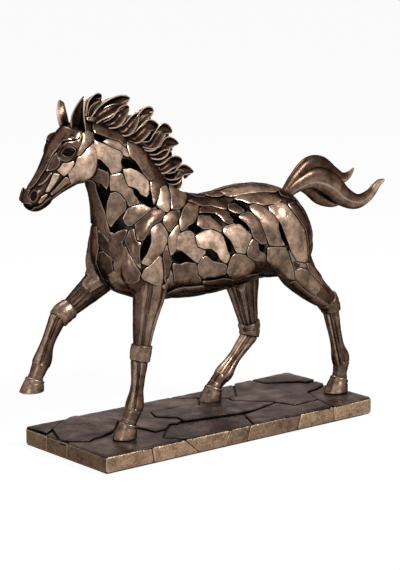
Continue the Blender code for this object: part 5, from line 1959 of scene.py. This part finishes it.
def round_corner(p):
    """A point of the slab, drawn in where it lies outside a rounded upright corner."""
    over_x = abs(p[0]) - (SLAB_X - CORNER_ROUND)
    over_y = abs(p[1]) - (SLAB_Y - CORNER_ROUND)
    size = math.hypot(over_x, over_y)
    if over_x <= 0 or over_y <= 0 or size <= max(over_x, over_y):
        return p
    draw = max(over_x, over_y) / size
    x = math.copysign(SLAB_X - CORNER_ROUND + over_x * draw, p[0])
    y = math.copysign(SLAB_Y - CORNER_ROUND + over_y * draw, p[1])
    return (x, y, p[2])


def paving_top(u, v):
    """The top of the slab at one point, rounded and chipped towards its edges."""
    edge = min(SLAB_X - abs(u), SLAB_Y - abs(v))
    near = min(1.0, max(0.0, 1 - edge / EDGE_ROUND))
    chip = 0.5 * wobble((u, v, 0), 6.0) * near
    return Vector((u, v, chip - EDGE_ROUND * (1 - math.sqrt(1 - near * near)))), Z_AXIS


def lay_stones(body, seed):
    """The flagstones on top of the slab."""
    for name, outline in FLAGSTONES.items():
        seed += SEED_STEP
        flat = [slab_snap(*on_plane(spot, 2, 0.0)[:2]) for spot in outline]
        rough = ROUGH_STONES.get(name, PLAIN_STONE)
        tile(body, inset_outline(flat, STONE_JOINT), paving_top, rough, seed, lift=STONE_RISES[name],
             rough=0.12 + 0.12 * rough, **STONE_FINISH)
    return seed


def lay_kerbs(body, seed):
    """The blocks round the sides of the slab."""
    # The blocks stop short of the underside, so the near-black core shows below them: partly patina, partly
    # painted shadow.
    low = SLAB_DEEP + KERB_LOW
    near = [(on_plane(t, 1, -SLAB_Y).x, on_plane(b, 1, -SLAB_Y).x) for t, b in SIDE_JOINTS]
    left = [(-on_plane(t, 0, -SLAB_X).y, -on_plane(b, 0, -SLAB_X).y) for t, b in END_JOINTS]
    far = [(-t, -b) for t, b in reversed(FAR_JOINTS)]
    # Each side: its joints, half its length, the directions along it, to its middle and outward, and its
    # painted shade.
    sides = [
        (near, SLAB_X, (1, 0, 0), (0, -SLAB_Y, 0), (0, -1, 0), 1.0),
        (left, SLAB_Y, (0, -1, 0), (-SLAB_X, 0, 0), (-1, 0, 0), END_PAINTED_SHADE),
        (far, SLAB_X, (-1, 0, 0), (0, SLAB_Y, 0), (0, 1, 0), 1.0),
        (RIGHT_END_JOINTS, SLAB_Y, (0, 1, 0), (SLAB_X, 0, 0), (1, 0, 0), END_PAINTED_SHADE),
    ]
    for joints, reach, *axes, shade in sides:
        along, start, out = (Vector(v) for v in axes)

        def wall(u, v, along=along, start=start, out=out):
            """A point of this side and the direction out of it."""
            return start + along * u + Z_AXIS * v, out

        joints = [(-reach, -reach)] + sorted(joints) + [(reach, reach)]
        for (t0, b0), (t1, b1) in zip(joints, joints[1:]):
            seed += SEED_STEP
            outline = [(b0, low), (b1, low), (t1, KERB_TOP), (t0, KERB_TOP)]
            # A block's tone varies at random, and the two ends are darkened by painted shade.
            tone = (0.66 + 0.3 * math.sin(seed * 3.3)) * shade
            tile(body, inset_outline(outline, KERB_JOINT), wall, tone, seed, slot=1, **KERB_FINISH)


def lay_base():
    """Flagstones on top and blocks round the sides of one cast slab."""
    body = Body()
    x = SLAB_X - CORE_INSET
    y = SLAB_Y - CORE_INSET
    corners = [(-x, -y), (x, -y), (x, y), (-x, y)]
    points = [(*corner, z) for z in (SLAB_DEEP + CORE_LIFT, CORE_TOP) for corner in corners]
    # The near-black core shows in the joints and, partly as painted shadow, along the bottom edge.
    body.add(points, loft_faces(2, 4), [0.6] * len(points), DARK_TONE, 2)
    lay_kerbs(body, lay_stones(body, 300.0))
    body.points = [round_corner(p) for p in body.points]
    body.make("paved_slab", [PAVING_BRONZE, KERB_BRONZE, SHADE_AND_JOINT_BLACK], "dark_bronze", ["base_slab"])


lay_trunk_plates()
lay_hidden_plates()
lay_lining()
lay_web()
lay_legs()
for name, body in SHELLS.items():
    body.make(name.replace("shell", "plates"), [PLATE_BRONZE, SHADE_AND_JOINT_BLACK], "bronze", [name], PLATE_SHARP)
for name, body in LEG_BODIES.items():
    body.make(name + "_cast", [PLATE_BRONZE], "bronze", [name])
lay_head()
HEAD_BODY.make("head_cast", [PLATE_BRONZE, EYE_BRONZE_AND_NOSTRIL_SHADE], "bronze", ["head"])
for side, body in CHEEKS.items():
    body.make("cheek_cast_" + side, [PLATE_BRONZE], "bronze", ["cheek_plate_" + side], PLATE_SHARP)
lay_ears()
lay_mane()
lay_tail()
lay_base()
for name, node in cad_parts.items():
    if name.endswith("_wire") or name == "tail_pin":
        node.data.materials[0] = STEEL
    if name == "felt_pad":
        node.data.materials[0] = FELT


def seen_rays(tree):
    """1 for rays that the camera, a reflection or a see-through surface sends out, otherwise 0."""
    path = tree.nodes.new("ShaderNodeLightPath")
    last = path.outputs["Is Camera Ray"]
    for ray in ("Is Glossy Ray", "Is Transmission Ray"):
        either = tree.nodes.new("ShaderNodeMath")
        either.operation = "MAXIMUM"
        tree.links.new(last, either.inputs[0])
        tree.links.new(path.outputs[ray], either.inputs[1])
        last = either.outputs[0]
    return last


def plain(tree, kind, colour):
    """A shader of one colour."""
    node = tree.nodes.new(kind)
    node.inputs["Color"].default_value = colour
    return node


def blend(tree, share, first, second, out):
    """Two shaders mixed by a share and sent to an output."""
    both = tree.nodes.new("ShaderNodeMixShader")
    tree.links.new(share, both.inputs["Fac"])
    tree.links.new(first.outputs[0], both.inputs[1])
    tree.links.new(second.outputs[0], both.inputs[2])
    tree.links.new(both.outputs[0], out.inputs["Surface"])


def lay_floor():
    """A wide pale floor that stays white in the picture and keeps a faint shadow."""
    mesh = bpy.data.meshes.new("floor")
    r = FLOOR_REACH
    mesh.from_pydata([(-r, -r, 0), (r, -r, 0), (r, r, 0), (-r, r, 0)], [], [(0, 1, 2, 3)])
    floor = bpy.data.objects.new("floor", mesh)
    bpy.context.collection.objects.link(floor)
    material = bpy.data.materials.new("floor_white")
    material.use_nodes = True
    tree = material.node_tree
    tree.nodes.clear()
    out = tree.nodes.new("ShaderNodeOutputMaterial")
    shade = plain(tree, "ShaderNodeBsdfDiffuse", FLOOR_COLOUR)
    glow = plain(tree, "ShaderNodeEmission", WHITE)
    seen = tree.nodes.new("ShaderNodeMath")
    seen.operation = "MULTIPLY"
    seen.inputs[1].default_value = FLOOR_GLOW
    tree.links.new(seen_rays(tree), seen.inputs[0])
    blend(tree, seen.outputs[0], shade, glow, out)
    mesh.materials.append(material)


def light_world():
    """White where the camera or a reflection sees it, softer as light on the object."""
    world = bpy.data.worlds.new("studio")
    bpy.context.scene.world = world
    world.use_nodes = True
    tree = world.node_tree
    tree.nodes.clear()
    out = tree.nodes.new("ShaderNodeOutputWorld")
    soft = plain(tree, "ShaderNodeBackground", SOFT_LIGHT)
    white = plain(tree, "ShaderNodeBackground", WHITE)
    blend(tree, seen_rays(tree), soft, white, out)


def lamp(name, spot, target, size, power):
    """A soft square lamp aimed at a point."""
    data = bpy.data.lights.new(name, "AREA")
    data.shape = "SQUARE"
    data.size = size
    data.energy = power
    light = bpy.data.objects.new(name, data)
    light.location = spot
    light.rotation_mode = "QUATERNION"
    light.rotation_quaternion = (Vector(target) - Vector(spot)).to_track_quat("-Z", "Y")
    bpy.context.collection.objects.link(light)


def set_camera():
    """The photograph's own viewpoint."""
    data = bpy.data.cameras.new("view")
    data.sensor_width = SENSOR
    data.lens = VIEW_LENS / PICTURE_HEIGHT * SENSOR
    data.clip_end = FAR_CLIP
    camera = bpy.data.objects.new("view", data)
    camera.location = place(VIEW_PLACE)
    camera.rotation_mode = "QUATERNION"
    camera.rotation_quaternion = (-BACK).to_track_quat("-Z", "Y")
    bpy.context.collection.objects.link(camera)
    bpy.context.scene.camera = camera


lay_floor()
light_world()
for name, (spot, target, size, power) in LAMPS.items():
    lamp(name, spot, target, size, power)
set_camera()
bpy.context.scene.view_settings.view_transform = "Standard"
